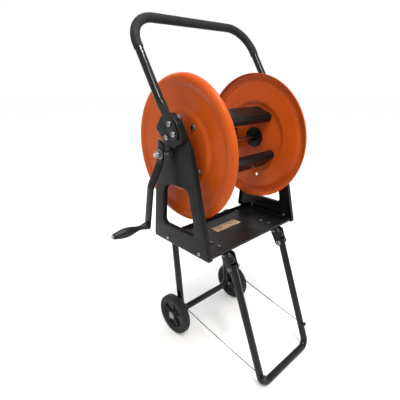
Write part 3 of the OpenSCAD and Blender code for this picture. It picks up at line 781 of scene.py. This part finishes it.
def tn(b):
    for y, z in TB:
        hexprism(b, -PX + PLATE_T + 2, -PX + PLATE_T + 6.5, 11.5, y, z, 20, 1, 0.7)


piece("tray_nuts_set", both(tn), "zinc", S, ["tray_nuts"], 30)

# ------------------------------------------------------------------ lower frame
stub = leg_at(20)
XN = (1, 0, 0)


def rail(b):
    path = path3([(-LX, stub[0], stub[1]), (-LX, BEND_Y, BEND_Z), (-LX, REAR_TOP[0], BEND_Z), (-LX, JOINT_Y, JOINT_Z)], [26, 34], 14, 20)
    tube(b, path, XN, TUBE_D / 2)


b = Build(); rail(b)
piece("frame_rail_left_bent", b, "gloss", S, ["frame_rail_left"])
piece("frame_rail_right_bent", b.mirrored(), "gloss", S, ["frame_rail_right"])
RDIR = Vector((0, sin(radians(REAR_A)), cos(radians(REAR_A))))
b = Build()
path = path3([(LX, JOINT_Y, JOINT_Z - 0.3), (LX, AXLE_Y, AXLE_Z), (-LX, AXLE_Y, AXLE_Z), (-LX, JOINT_Y, JOINT_Z - 0.3)], [30, 30], 14, 22)
tube(b, path, Vector((1, 0, 0)).cross(RDIR), TUBE_D / 2)
piece("rear_frame_tube_bent", b, "gloss", S, ["rear_frame_tube"])
b = Build()
for s in (-1, 1):
    c = Vector((s * LX, JOINT_Y, JOINT_Z))
    rings = []
    for h, r in ((-30, 8.5), (-29, 9.4), (12, 9.4), (13, 8.5)):
        rings.append([c + RDIR * h + Vector((1, 0, 0)) * (r * cos(2 * pi * j / 28)) + Vector((1, 0, 0)).cross(RDIR) * (r * sin(2 * pi * j / 28)) for j in range(28)])
    b.rings(rings)
piece("frame_plugs_pair", b, "gloss", S, ["frame_plugs"])
FY = [-112, -80, 30]


def zbutton(b, x, y, z0, d, h, up=1):
    R_ = d / 2
    prof = [(0, 0.01), (0, R_), (0.25 * h, R_), (0.6 * h, R_ * 0.92), (0.9 * h, R_ * 0.66), (h, R_ * 0.36), (0.55 * h, R_ * 0.33), (0.5 * h, 0.01)]
    rings = []
    for k in range(32):
        a = 2 * pi * k / 32
        rings.append([(x + r * cos(a), y + r * sin(a), z0 + up * hh) for hh, r in prof])
    n = len(prof)
    b.add([p for r in rings for p in r], [(a * n + j, a * n + j + 1, ((a + 1) % 32) * n + j + 1, ((a + 1) % 32) * n + j) for a in range(32) for j in range(n - 1)])


def fb(b):
    for y in FY:
        zbutton(b, -LX, y, TRAY_Z + 2, 13, 4)
        rings = []
        for z, r in ((BEND_Z - 18, 2.4), (BEND_Z - 17.4, 3.0), (BEND_Z - 16, 3.0)):
            rings.append([(-LX + r * cos(2 * pi * k / 20), y + r * sin(2 * pi * k / 20), z) for k in range(20)])
        b.rings(rings)


piece("frame_bolts_set", both(fb), "dark_zinc", S, ["frame_bolts"], 30)
soften("frame_nuts", "zinc", S, 0.5)

# ------------------------------------------------------------------ hinge of the front stand
RIVET = (-144, BEND_Z)
cheek = fillet([(PIVOT[0] - 12.5, PIVOT[1] - 10, 10), (PIVOT[0] + 10, PIVOT[1] - 14, 10), (-134, BEND_Z - 9, 8), (-134, BEND_Z + 9, 8), (-158, BEND_Z + 9, 8)], True, 8)


def cheeks(b):
    for x0 in (-LX - TUBE_D / 2 - 3.4, -LX + TUBE_D / 2 + 0.4):
        plate(b, dense(cheek, 8), x0, x0 + 3, 0.6)


piece("pivot_brackets_pressed", both(cheeks), "satin", S, ["pivot_brackets"])


def rv(b):
    button(b, -LX - 14.4, -1, 10, 2.6, RIVET[0], RIVET[1], False)
    button(b, -LX + 14.4, 1, 10, 2.6, RIVET[0], RIVET[1], False)


piece("pivot_rivets_set", both(rv), "dark_zinc", S, ["pivot_rivets"], 30)


def pb(b):
    washer(b, -LX - 15.6, -LX - 14.4, 15, 8, *PIVOT)
    hexprism(b, -LX - 19.4, -LX - 15.6, 14.4, PIVOT[0], PIVOT[1], 8, -1)
    shank(b, -LX + 20.0, -LX + 22.4, 8, *PIVOT)


piece("pivot_bolts_set", both(pb), "dark_zinc", S, ["pivot_bolts"], 30)


def pn(b):
    hexprism(b, -LX + 14.4, -LX + 20.4, 15, PIVOT[0], PIVOT[1], 25, 1)


piece("pivot_nuts_set", both(pn), "zinc", S, ["pivot_nuts"], 30)

# ------------------------------------------------------------------ axle
b = Build()
lathe(b, turned([(-WX - 6, 0.01), (-WX - 6, 6), (WX + 6, 6), (WX + 6, 0.01)], 0.8), (AXLE_Y, AXLE_Z), 36, False)
piece("axle_rod_turned", b, "steel", S, ["axle_rod"])


def sp(b):
    lathe(b, fillet([(-WX + WHEEL_W + 0.5, 6.0, 0.2), (-WX + WHEEL_W + 0.5, 9, 0.6), (-LX - 6.4, 9, 0.6), (-LX - 6.4, 6.0, 0.2)], True, 3), (AXLE_Y, AXLE_Z), 36)


piece("axle_spacers_pair", both(sp), "zinc", S, ["axle_spacers"])


def wa(b):
    washer(b, -WX - 2, -WX - 0.5, 26, 12, AXLE_Y, AXLE_Z)


piece("axle_washers_pair", both(wa), "zinc", S, ["axle_washers"])


def cap(b):
    lathe(b, [(-WX - 2, 6.0), (-WX - 2, 9.3), (-WX - 2.3, 9.5), (-WX - 3.2, 9.5), (-WX - 4.2, 9.1), (-WX - 5.0, 8.2), (-WX - 6.2, 7.4), (-WX - 7.2, 6.0), (-WX - 7.8, 3.6), (-WX - 8, 0.01)], (AXLE_Y, AXLE_Z), 40, False)


piece("axle_caps_pair", both(cap), "zinc", S, ["axle_caps"])

# ------------------------------------------------------------------ wheels
RIM = WHEEL_D / 2 - 18


def tyre(s):
    w, R_ = WHEEL_W / 2, WHEEL_D / 2
    half = [(w - 1, RIM), (w - 0.4, RIM + 1.5), (w - 0.2, RIM + 5), (w - 0.9, RIM + 5.6), (w - 0.9, RIM + 6.6), (w - 0.2, RIM + 7.2), (w, RIM + 11), (w - 0.6, R_ - 4.0), (w - 2.2, R_ - 1.9), (w - 4.2, R_ - 0.8)]
    crown = []
    for k in range(9):
        x = (w - 5.0) * (1 - k / 4.0)
        crown.append((x, R_ - 0.35 * (x / w) ** 2))
    prof = half + crown + [(-x, r) for x, r in half[::-1]]
    b = Build()
    lathe(b, [(s * (WX - w) + x, r) for x, r in prof], (AXLE_Y, AXLE_Z), 96)
    return b


def wheel_hub(s):
    c = s * (WX - WHEEL_W / 2)
    w = WHEEL_W / 2
    b = Build()
    prof = fillet([(-w, 6.06, 0.3), (-w, 13.5, 1.2), (-6, 15, 1.5), (-3, 17, 2.0), (-3, RIM - 7, 2.5), (-w + 2, RIM - 4.5, 1.2), (-w + 2, RIM, 0.4),
                   (w - 2, RIM, 0.4), (w - 2, RIM - 4.5, 1.2), (3, RIM - 7, 2.5), (3, 17, 2.0), (6, 15, 1.5), (w, 13.5, 1.2), (w, 6.06, 0.3)], True, 4)
    lathe(b, [(c + x, r) for x, r in prof], (AXLE_Y, AXLE_Z), 96)
    for i in range(5):
        a = radians(72 * i + 18)
        for side in (-1, 1):
            rings = []
            for r_ in (13.5, 20, 30, 40, RIM - 4):
                hgt = (w - 4.0) - 1.4 * sin(pi * (r_ - 13) / (RIM - 17))
                wd = 2.0
                pts = []
                for q, e in ((-wd, 2.5), (-wd, hgt - 0.7), (-wd + 0.6, hgt), (wd - 0.6, hgt), (wd, hgt - 0.7), (wd, 2.5)):
                    pts.append((c + side * e, AXLE_Y + r_ * cos(a) - q * sin(a), AXLE_Z + r_ * sin(a) + q * cos(a)))
                rings.append(pts)
            b.rings(rings)
    return b


piece("wheel_left_tyre_moulded", tyre(-1), "tyre", WL, ["wheel_left_tyre"])
piece("wheel_right_tyre_moulded", tyre(1), "tyre", WR, ["wheel_right_tyre"])
piece("wheel_left_hub_moulded", wheel_hub(-1), "plastic", WL, ["wheel_left_hub"])
piece("wheel_right_hub_moulded", wheel_hub(1), "plastic", WR, ["wheel_right_hub"])

# ------------------------------------------------------------------ bushes
b = Build()
lathe(b, fillet([(-PX - 3, 8.06, 0.3), (-PX - 3, 19.6, 1.0), (-PX, 20, 0.3), (-PX, 12, 0), (-PX + PLATE_T, 12, 0), (-PX + PLATE_T, 15, 0.3), (-PX + PLATE_T + 8, 14.6, 0.8), (-PX + PLATE_T + 8, 8.06, 0.3)], True, 3), (0, AXIS_Z), 48)
piece("shaft_bush_left_moulded", b, "plastic", S, ["shaft_bush_left"])
piece("shaft_bush_right_moulded", b.mirrored(), "plastic", S, ["shaft_bush_right"])

# ------------------------------------------------------------------ reel
FL = [(13, -1), (104, -1), (107, -1.6), (115, -5.4), (118, -6), (164, -6), (168, -5.4), (176, -1.4), (180, -0.4), (184, 0),
      (188, -0.3), (192, -1.4), (195, -3.1), (197.4, -5.4), (199.2, -8.4), (200, -11.5), (200, -14.5)]


def chaikin(p, times=2):
    for _ in range(times):
        q = [p[0]]
        for a, c in zip(p, p[1:]):
            q.append((a[0] * 0.75 + c[0] * 0.25, a[1] * 0.75 + c[1] * 0.25))
            q.append((a[0] * 0.25 + c[0] * 0.75, a[1] * 0.25 + c[1] * 0.75))
        q.append(p[-1])
        p = q
    return p


def flange():
    mid = [FL[0], (40, -1), (70, -1), (90, -1), (100, -1)] + FL[1:5] + [(122, -6), (140, -6), (158, -6)] + FL[5:]
    outer = chaikin(mid, 2)
    m = len(outer)
    inner = []
    for i in range(m):
        a = Vector(outer[min(i + 1, m - 1)]) - Vector(outer[max(i - 1, 0)])
        a.normalize()
        inner.append((outer[i][0] + a.y * FLANGE_T, outer[i][1] - a.x * FLANGE_T))
    edge = [(outer[-1][0] - 0.25, outer[-1][1] - 0.35), (inner[-1][0] + 0.25, inner[-1][1] - 0.35)]
    prof = outer + edge + inner[::-1]
    b = Build()
    lathe(b, [(-AX - h, r) for r, h in prof], (0, AXIS_Z), 192)
    return b


fl_left = piece("flange_left_pressed", flange(), "orange", R, ["flange_left"], 50)
fl_right = piece("flange_right_pressed", flange().mirrored(), "orange", R, ["flange_right"], 50)
# wire-end hole in the right flange
hb_ = Build()
hy, hz = 125 * cos(radians(99.9)), AXIS_Z - 125 * sin(radians(99.9))
hb_.rings([[(x, hy + 4.5 * cos(2 * pi * k / 32), hz + 4.5 * sin(2 * pi * k / 32)) for k in range(32)] for x in (AX - 16, AX + 4)])
me = bpy.data.meshes.new("hole_tool")
me.from_pydata([P(v) for v in hb_.v], [], hb_.f)
bm = bmesh.new(); bm.from_mesh(me); bmesh.ops.recalc_face_normals(bm, faces=bm.faces); bm.to_mesh(me); bm.free()
tool = bpy.data.objects.new("hole_tool", me)
scene.collection.objects.link(tool)
md = fl_right.modifiers.new("hole", "BOOLEAN")
md.operation, md.object, md.solver = "DIFFERENCE", tool, "EXACT"
dg = bpy.context.evaluated_depsgraph_get()
cut = bpy.data.meshes.new_from_object(fl_right.evaluated_get(dg))
fl_right.modifiers.clear()
if len(cut.vertices) > 1000:
    fl_right.data = cut
    cut.polygons.foreach_set("use_smooth", [True] * len(cut.polygons))
    cut.set_sharp_from_angle(angle=radians(50))
bpy.data.objects.remove(tool)


def slat_local(i):
    a = radians(SLAT_A0 + 120 * i - 90)
    return lambda x, y, n: (x, y * cos(a) - n * sin(a), AXIS_Z + y * sin(a) + n * cos(a))


def slat(i):
    L = slat_local(i)
    b = Build()
    hw = SLAT_W / 2
    o = strip([(hw - 3.6, SLAT_N - SLAT_LIP), (hw, SLAT_N - 11), (hw - 11, SLAT_N), (-hw + 11, SLAT_N), (-hw, SLAT_N - 11), (-hw + 3.6, SLAT_N - SLAT_LIP)], 2.0, 5.0, 5)
    c = Build()
    extr(c, o, -IX, IX, 0.3)
    t = fillet([(-36, SLAT_N - 22, 6), (36, SLAT_N - 22, 6), (36, SLAT_N - 3, 4), (-36, SLAT_N - 3, 4)], True, 5)
    for s in (-1, 1):
        xa, xb = sorted((s * IX, s * (IX - 2)))
        plate(c, dense(t, 8), xa, xb, 0.4)
    b.v = [L(x, y, z) for x, y, z in c.v]
    b.f = c.f
    return b


for i in range(3):
    piece("drum_slat_%d_folded" % (i + 1), slat(i), "satin", R, ["drum_slat_%d" % (i + 1)])


def fastener_sets():
    bolts, nuts = Build(), Build()
    for i in range(3):
        L = slat_local(i)
        for s in (-1, 1):
            y, z = L(0, s * 29, 83.5)[1:]
            hexprism(bolts, -AX - 3.5, -AX + 0.6, 15, y, z, 17 * (i + 1) + 9 * s, -1)
            washer(bolts, -AX + 0.2, -AX + 1.0, 17.0, 6, y, z)
            shank(bolts, -IX + 6.9, -IX + 8, 6, y, z, 1.0)
            hexprism(nuts, -IX + 2, -IX + 7, 11.5, y, z, 31 * (i + 1), 1, 0.7)
    return bolts, nuts


fb1, fn1 = fastener_sets()
piece("flange_bolts_set", fb1.plus(fb1.mirrored()), "zinc", R, ["flange_bolts"], 30)
piece("flange_nuts_set", fn1.plus(fn1.mirrored()), "zinc", R, ["flange_nuts"], 30)
b = Build()
lathe(b, fillet([(-AX - 3, 8.0, 0.3), (-AX - 3, 12.6, 1.2), (-IX, 13, 0.5), (-IX, 33, 0.8), (-IX + 3, 33, 0.8), (-IX + 3, 13.2, 2.2), (-IX + 24, 13, 1.2), (-IX + 24, 8.0, 0.3)], True, 4), (0, AXIS_Z), 56)
piece("hub_left_welded", b, "satin", R, ["hub_left"])
piece("hub_right_welded", b.mirrored(), "satin", R, ["hub_right"])
b = Build()
lathe(b, turned([(-246, 0.01), (-246, 6), (-224, 6), (-224, 8), (PX + 16, 8), (PX + 16, 0.01)], 0.8), (0, AXIS_Z), 48, False)
piece("reel_shaft_turned", b, "steel", R, ["reel_shaft"])
b = Build()
lathe(b, fillet([(PX + 3.5, 8.0, 0.2), (PX + 3.5, 14, 1.0), (PX + 13.5, 14, 1.0), (PX + 13.5, 8.0, 0.2)], True, 4), (0, AXIS_Z), 48)
piece("shaft_collar_turned", b, "zinc", R, ["shaft_collar"])

# ------------------------------------------------------------------ crank
CA = radians(CRANK_A)


def CF(x, y, z):
    return (x, y * cos(CA) - z * sin(CA), AXIS_Z + y * sin(CA) + z * cos(CA))


def crank():
    c1, c2, t, w = -226.5, -250.0, CRANK_T, CRANK_W
    line = fillet([(c2, -CRANK_R - 12.5, 0), (c2, -92, 26), (c1, -27, 26), (c1, 36, 0)], False, 10)
    pts = []
    for a, c in zip(line, line[1:]):
        L = (Vector(c) - Vector(a)).length
        k = max(1, int(L / 5))
        pts += [tuple(Vector(a) + (Vector(c) - Vector(a)) * j / k) for j in range(k)]
    pts.append(line[-1])
    extra = []
    for z in (-CRANK_R - 12.4, -CRANK_R - 12.0, -CRANK_R - 11, -CRANK_R - 9.5, -CRANK_R - 7, -CRANK_R - 4, -CRANK_R):
        extra.append((c2, z))
    pts = [pts[0]] + extra + [p for p in pts[1:] if p[1] > -CRANK_R + 1]
    rings = []
    for i, p in enumerate(pts):
        a = Vector(pts[min(i + 1, len(pts) - 1)]) - Vector(pts[max(i - 1, 0)])
        a.normalize()
        nx, nz = a.y, -a.x          # out of the bar's face
        z = p[1]
        hw = w / 2
        if z < -CRANK_R:
            hw = max(1.5, sqrt(max(0.0, 12.5 ** 2 - (z + CRANK_R) ** 2)))
        e = min(0.9, hw * 0.4)
        sec = [(-hw + e, -t / 2), (hw - e, -t / 2), (hw - 0.3 * e, -t / 2 + 0.3 * e), (hw, -t / 2 + e), (hw, t / 2 - e), (hw - 0.3 * e, t / 2 - 0.3 * e),
               (hw - e, t / 2), (-hw + e, t / 2), (-hw + 0.3 * e, t / 2 - 0.3 * e), (-hw, t / 2 - e), (-hw, -t / 2 + e), (-hw + 0.3 * e, -t / 2 + 0.3 * e)]
        ring = []
        for y, n in sec:
            cut = 9.0 * max(0.0, (z - 8) / 28) * (0.5 - y / w) if z > 8 else 0.0
            ring.append(CF(p[0] + n * nx, y, z + n * nz - cut))
        rings.append(ring)
    b = Build()
    b.rings(rings)
    return b


piece("crank_arm_bent", crank(), "satin", R, ["crank_arm"], 34)
b = Build(); washer(b, -230.6, -229, 26, 12, 0, AXIS_Z)
piece("crank_washer_plated", b, "zinc", R, ["crank_washer"])
b = Build()
hexprism(b, -239.4, -230.6, 21, 0, AXIS_Z, 12, -1, 1.4)
lathe(b, [(-238.6, 6.0), (-239.4, 7.4), (-240.3, 7.2), (-241, 6.2)], (0, AXIS_Z), 36, False)
piece("crank_nut_plated", b, "zinc", R, ["crank_nut"], 30)


def crank_lathe(b, prof, segs=48, closed=False):
    y, z = CF(0, 0, -CRANK_R)[1:]
    lathe(b, prof, (y, z), segs, closed)
    return b


b = Build()
crank_lathe(b, turned([(-242, 0.01), (-242, 4), (-361, 4), (-361, 6), (-363.4, 5.2), (-363.5, 0.01)], 0.3))
piece("grip_pin_turned", b, "zinc", R, ["grip_pin"])
b = Build()
yy, zz = CF(0, 0, -CRANK_R)[1:]
hexprism(b, -247.5, -242.5, 14, yy, zz, 15, 1, 0.8)
piece("grip_nut_plated", b, "zinc", R, ["grip_nut"], 30)
grip_line = [(253, 10.5), (257, 11), (261, 10.4), (266, 8.6), (273, 7.2), (281, 7), (289, 8.2), (298, 10.6), (308, 12.9),
             (318, 13.9), (328, 13.8), (338, 12.6), (347, 10.8), (354, 9.2), (358, 8.2), (360.6, 6.6)]
g = chaikin([(-x, r) for x, r in grip_line], 2)
g2 = []
for x, r in g:
    g2.append((x, r))
prof = [(-253, 4.06), (-253, 9.9), (-253.4, 10.4)] + g2[1:-1] + [(-360.3, 6.9), (-360.6, 6.4), (-360.6, 4.06)]
b = Build(); crank_lathe(b, prof, 64, True)
piece("crank_grip_turned", b, "plastic", G, ["crank_grip"], 45)

# ------------------------------------------------------------------ front stand
st = (PIVOT[0] - 9 * LD[0], PIVOT[1] - 9 * LD[1])
LDIR = Vector((0, LD[0], LD[1]))
b = Build()
path = path3([(LX, st[0], st[1]), (LX, FOOT_Y, TUBE_D / 2), (-LX, FOOT_Y, TUBE_D / 2), (-LX, st[0], st[1])], [26, 26], 16, 20)
tube(b, path, Vector((1, 0, 0)).cross(LDIR), TUBE_D / 2)
piece("front_stand_tube_bent", b, "gloss", F, ["front_stand_tube"])
CABLE_S = [362, 318]


def ylathe(b, x, z, prof, segs=32):
    """prof: (y, r) turned about an axis along Y."""
    n = len(prof)
    verts = []
    for k in range(segs):
        a = 2 * pi * k / segs
        verts += [(x + r * cos(a), y, z + r * sin(a)) for y, r in prof]
    b.add(verts, [(a * n + j, a * n + j + 1, ((a + 1) % segs) * n + j + 1, ((a + 1) % segs) * n + j) for a in range(segs) for j in range(n - 1)])


b = Build()
for i in (0, 1):
    y, z = leg_at(CABLE_S[i])
    x = (2 * i - 1) * LX
    ylathe(b, x, z, [(y + 9, 1.3), (y + 9, 2.5), (y - 14.6, 2.5), (y - 14.6, 6.4), (y - 15.1, 7), (y - 17.6, 7), (y - 19.2, 6.2), (y - 20.3, 4.2), (y - 20.6, 2.0), (y - 19.8, 1.3), (y - 14, 1.3)])
piece("cable_stop_knobs_pair", b, "plastic", F, ["cable_stop_knobs"])

# ------------------------------------------------------------------ brace cables
ca45 = cos(radians(45))
REAR_AT = [(-LX + 30 - 30 * ca45, AXLE_Y + (30 - 30 * ca45) * tan(radians(REAR_A)), AXLE_Z + 30 - 30 * ca45),
           (LX, AXLE_Y + (152 - AXLE_Z) * tan(radians(REAR_A)), 152.0)]


def cable(i):
    a = Vector(REAR_AT[i]) - Vector((0, TUBE_D / 2 + 3.8, 0))
    y, z = leg_at(CABLE_S[i])
    x = (2 * i - 1) * LX
    c = Vector((x, y + 14, z))
    n = 60
    pts = [a + (c - a) * k / n - Vector((0, 0, 12 * (k / n) * (1 - k / n))) for k in range(n + 1)]
    pts += [c - Vector((0, q, 0)) for q in (5.5, 11, 16.5, 22)]
    return pts


def cable_mesh(i):
    pts = cable(i)
    rings = []
    n = 12
    for k, p in enumerate(pts):
        rings.append([p + Vector(((1.30 + 0.08 * cos(3 * (2 * pi * j / n) + 0.9 * k)) * cos(2 * pi * j / n), 0, (1.55 + 0.08 * cos(3 * (2 * pi * j / n) + 0.9 * k)) * sin(2 * pi * j / n))) for j in range(n)])
    b = Build()
    b.rings(rings)
    # crimped ferrule at the anchor end
    p0, p1 = pts[0], pts[2]
    d = (p1 - p0).normalized()
    sd = d.cross(Vector((0, 0, 1))).normalized()
    up = sd.cross(d)
    fr_ = []
    for h, r in ((0.2, 1.9), (0.8, 2.3), (4.0, 2.3), (4.6, 1.8), (5.4, 1.8), (6.0, 2.3), (10.0, 2.2), (11.0, 1.4)):
        fr_.append([p0 + d * h + sd * (r * cos(2 * pi * j / 16)) + up * (r * sin(2 * pi * j / 16)) for j in range(16)])
    b.rings(fr_)
    return b


for i, side in enumerate(("left", "right")):
    ob = piece("brace_cable_%s_strand" % side, cable_mesh(i), "cable", None, ["brace_cable_" + side])
    pts = cable(i)
    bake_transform(ob)
b = Build()
for i in (0, 1):
    x, y, z = REAR_AT[i]
    f0 = y - TUBE_D / 2 + 0.3
    ylathe(b, x, z, [(f0, 0.01), (f0, 4.4), (f0 - 1.0, 4.5), (f0 - 2.9, 4.3), (f0 - 3.8, 3.4), (f0 - 4.1, 1.9), (f0 - 3.5, 1.6), (f0 - 3.5, 0.01)])
piece("cable_anchor_screws_pair", b, "plastic", S, ["cable_anchor_screws"])

# ------------------------------------------------------------------ camera
yaw, pitch, roll = radians(-43.78767), radians(-20.80061), radians(0.06843)
fwd = Vector((-sin(yaw) * cos(pitch), cos(yaw) * cos(pitch), sin(pitch)))
right = fwd.cross(Vector((0, 0, 1))).normalized()
up = right.cross(fwd)
r2 = right * cos(roll) + up * sin(roll)
u2 = -right * sin(roll) + up * cos(roll)
cam_data = bpy.data.cameras.new("photo_camera")
cam = bpy.data.objects.new("photo_camera", cam_data)
scene.collection.objects.link(cam)
cam.matrix_world = Matrix.Translation(P((-727.6453, -701.3979, 851.1172))) @ Matrix((r2, u2, -fwd)).transposed().to_4x4()
cam_data.sensor_width = 36.0
cam_data.lens = 332.352 / 400 * 36.0
cam_data.shift_x = -(207.983 - 200.0) / 400
cam_data.shift_y = (202.866 - 200.0) / 400
cam_data.clip_start, cam_data.clip_end = 0.02, 60.0
cam_data.dof.use_dof = False
scene.camera = cam

# ------------------------------------------------------------------ floor and light
def floor_material():
    m = bpy.data.materials.new("pale_floor")
    nt, b, co = nodes_of(m)
    nt.links.new(ramp(nt, noise(nt, co, 3.0, 2.0), [(0.3, (0.90, 0.90, 0.90)), (0.7, (0.93, 0.93, 0.93))]), b.inputs["Base Color"])
    b.inputs["Roughness"].default_value = 0.9
    b.inputs["Emission Color"].default_value = (1.0, 1.0, 1.0, 1.0)
    b.inputs["Emission Strength"].default_value = 0.07
    b.inputs["Specular IOR Level"].default_value = 0.1
    return m


me = bpy.data.meshes.new("floor")
me.from_pydata([(-14, -14, -0.0004), (14, -14, -0.0004), (14, 14, -0.0004), (-14, 14, -0.0004)], [], [(0, 1, 2, 3)])
me.materials.append(floor_material())
floor = bpy.data.objects.new("floor", me)
scene.collection.objects.link(floor)

world = bpy.data.worlds.new("studio")
scene.world = world
world.use_nodes = True
world.node_tree.nodes["Background"].inputs["Color"].default_value = (1.0, 1.0, 1.0, 1.0)
world.node_tree.nodes["Background"].inputs["Strength"].default_value = 1.0


def area(name, loc, target, size, power, color=(1, 1, 1)):
    d = bpy.data.lights.new(name, "AREA")
    d.shape, d.size, d.energy, d.color = "DISK", size, power, color
    o = bpy.data.objects.new(name, d)
    o.location = loc
    o.rotation_mode = "QUATERNION"
    o.rotation_quaternion = (Vector(target) - Vector(loc)).to_track_quat("-Z", "Y")
    scene.collection.objects.link(o)
    return o


area("key_light", (-1.0, -1.5, 3.1), (0.06, 0.05, 0.6), 0.5, 42.0, (1.0, 0.94, 0.84))
area("fill_light", (2.4, -2.2, 1.6), (0.06, 0.05, 0.6), 2.2, 10.0)
area("top_light", (-0.03, -0.42, 2.05), (0.10, 0.05, 0.6), 0.12, 20.0)
area("back_light", (0.6, 2.8, 2.4), (0.06, 0.05, 0.6), 1.8, 14.0)
scene.view_settings.view_transform = "Standard"
scene.view_settings.look = "None"
scene.view_settings.exposure = 0.0
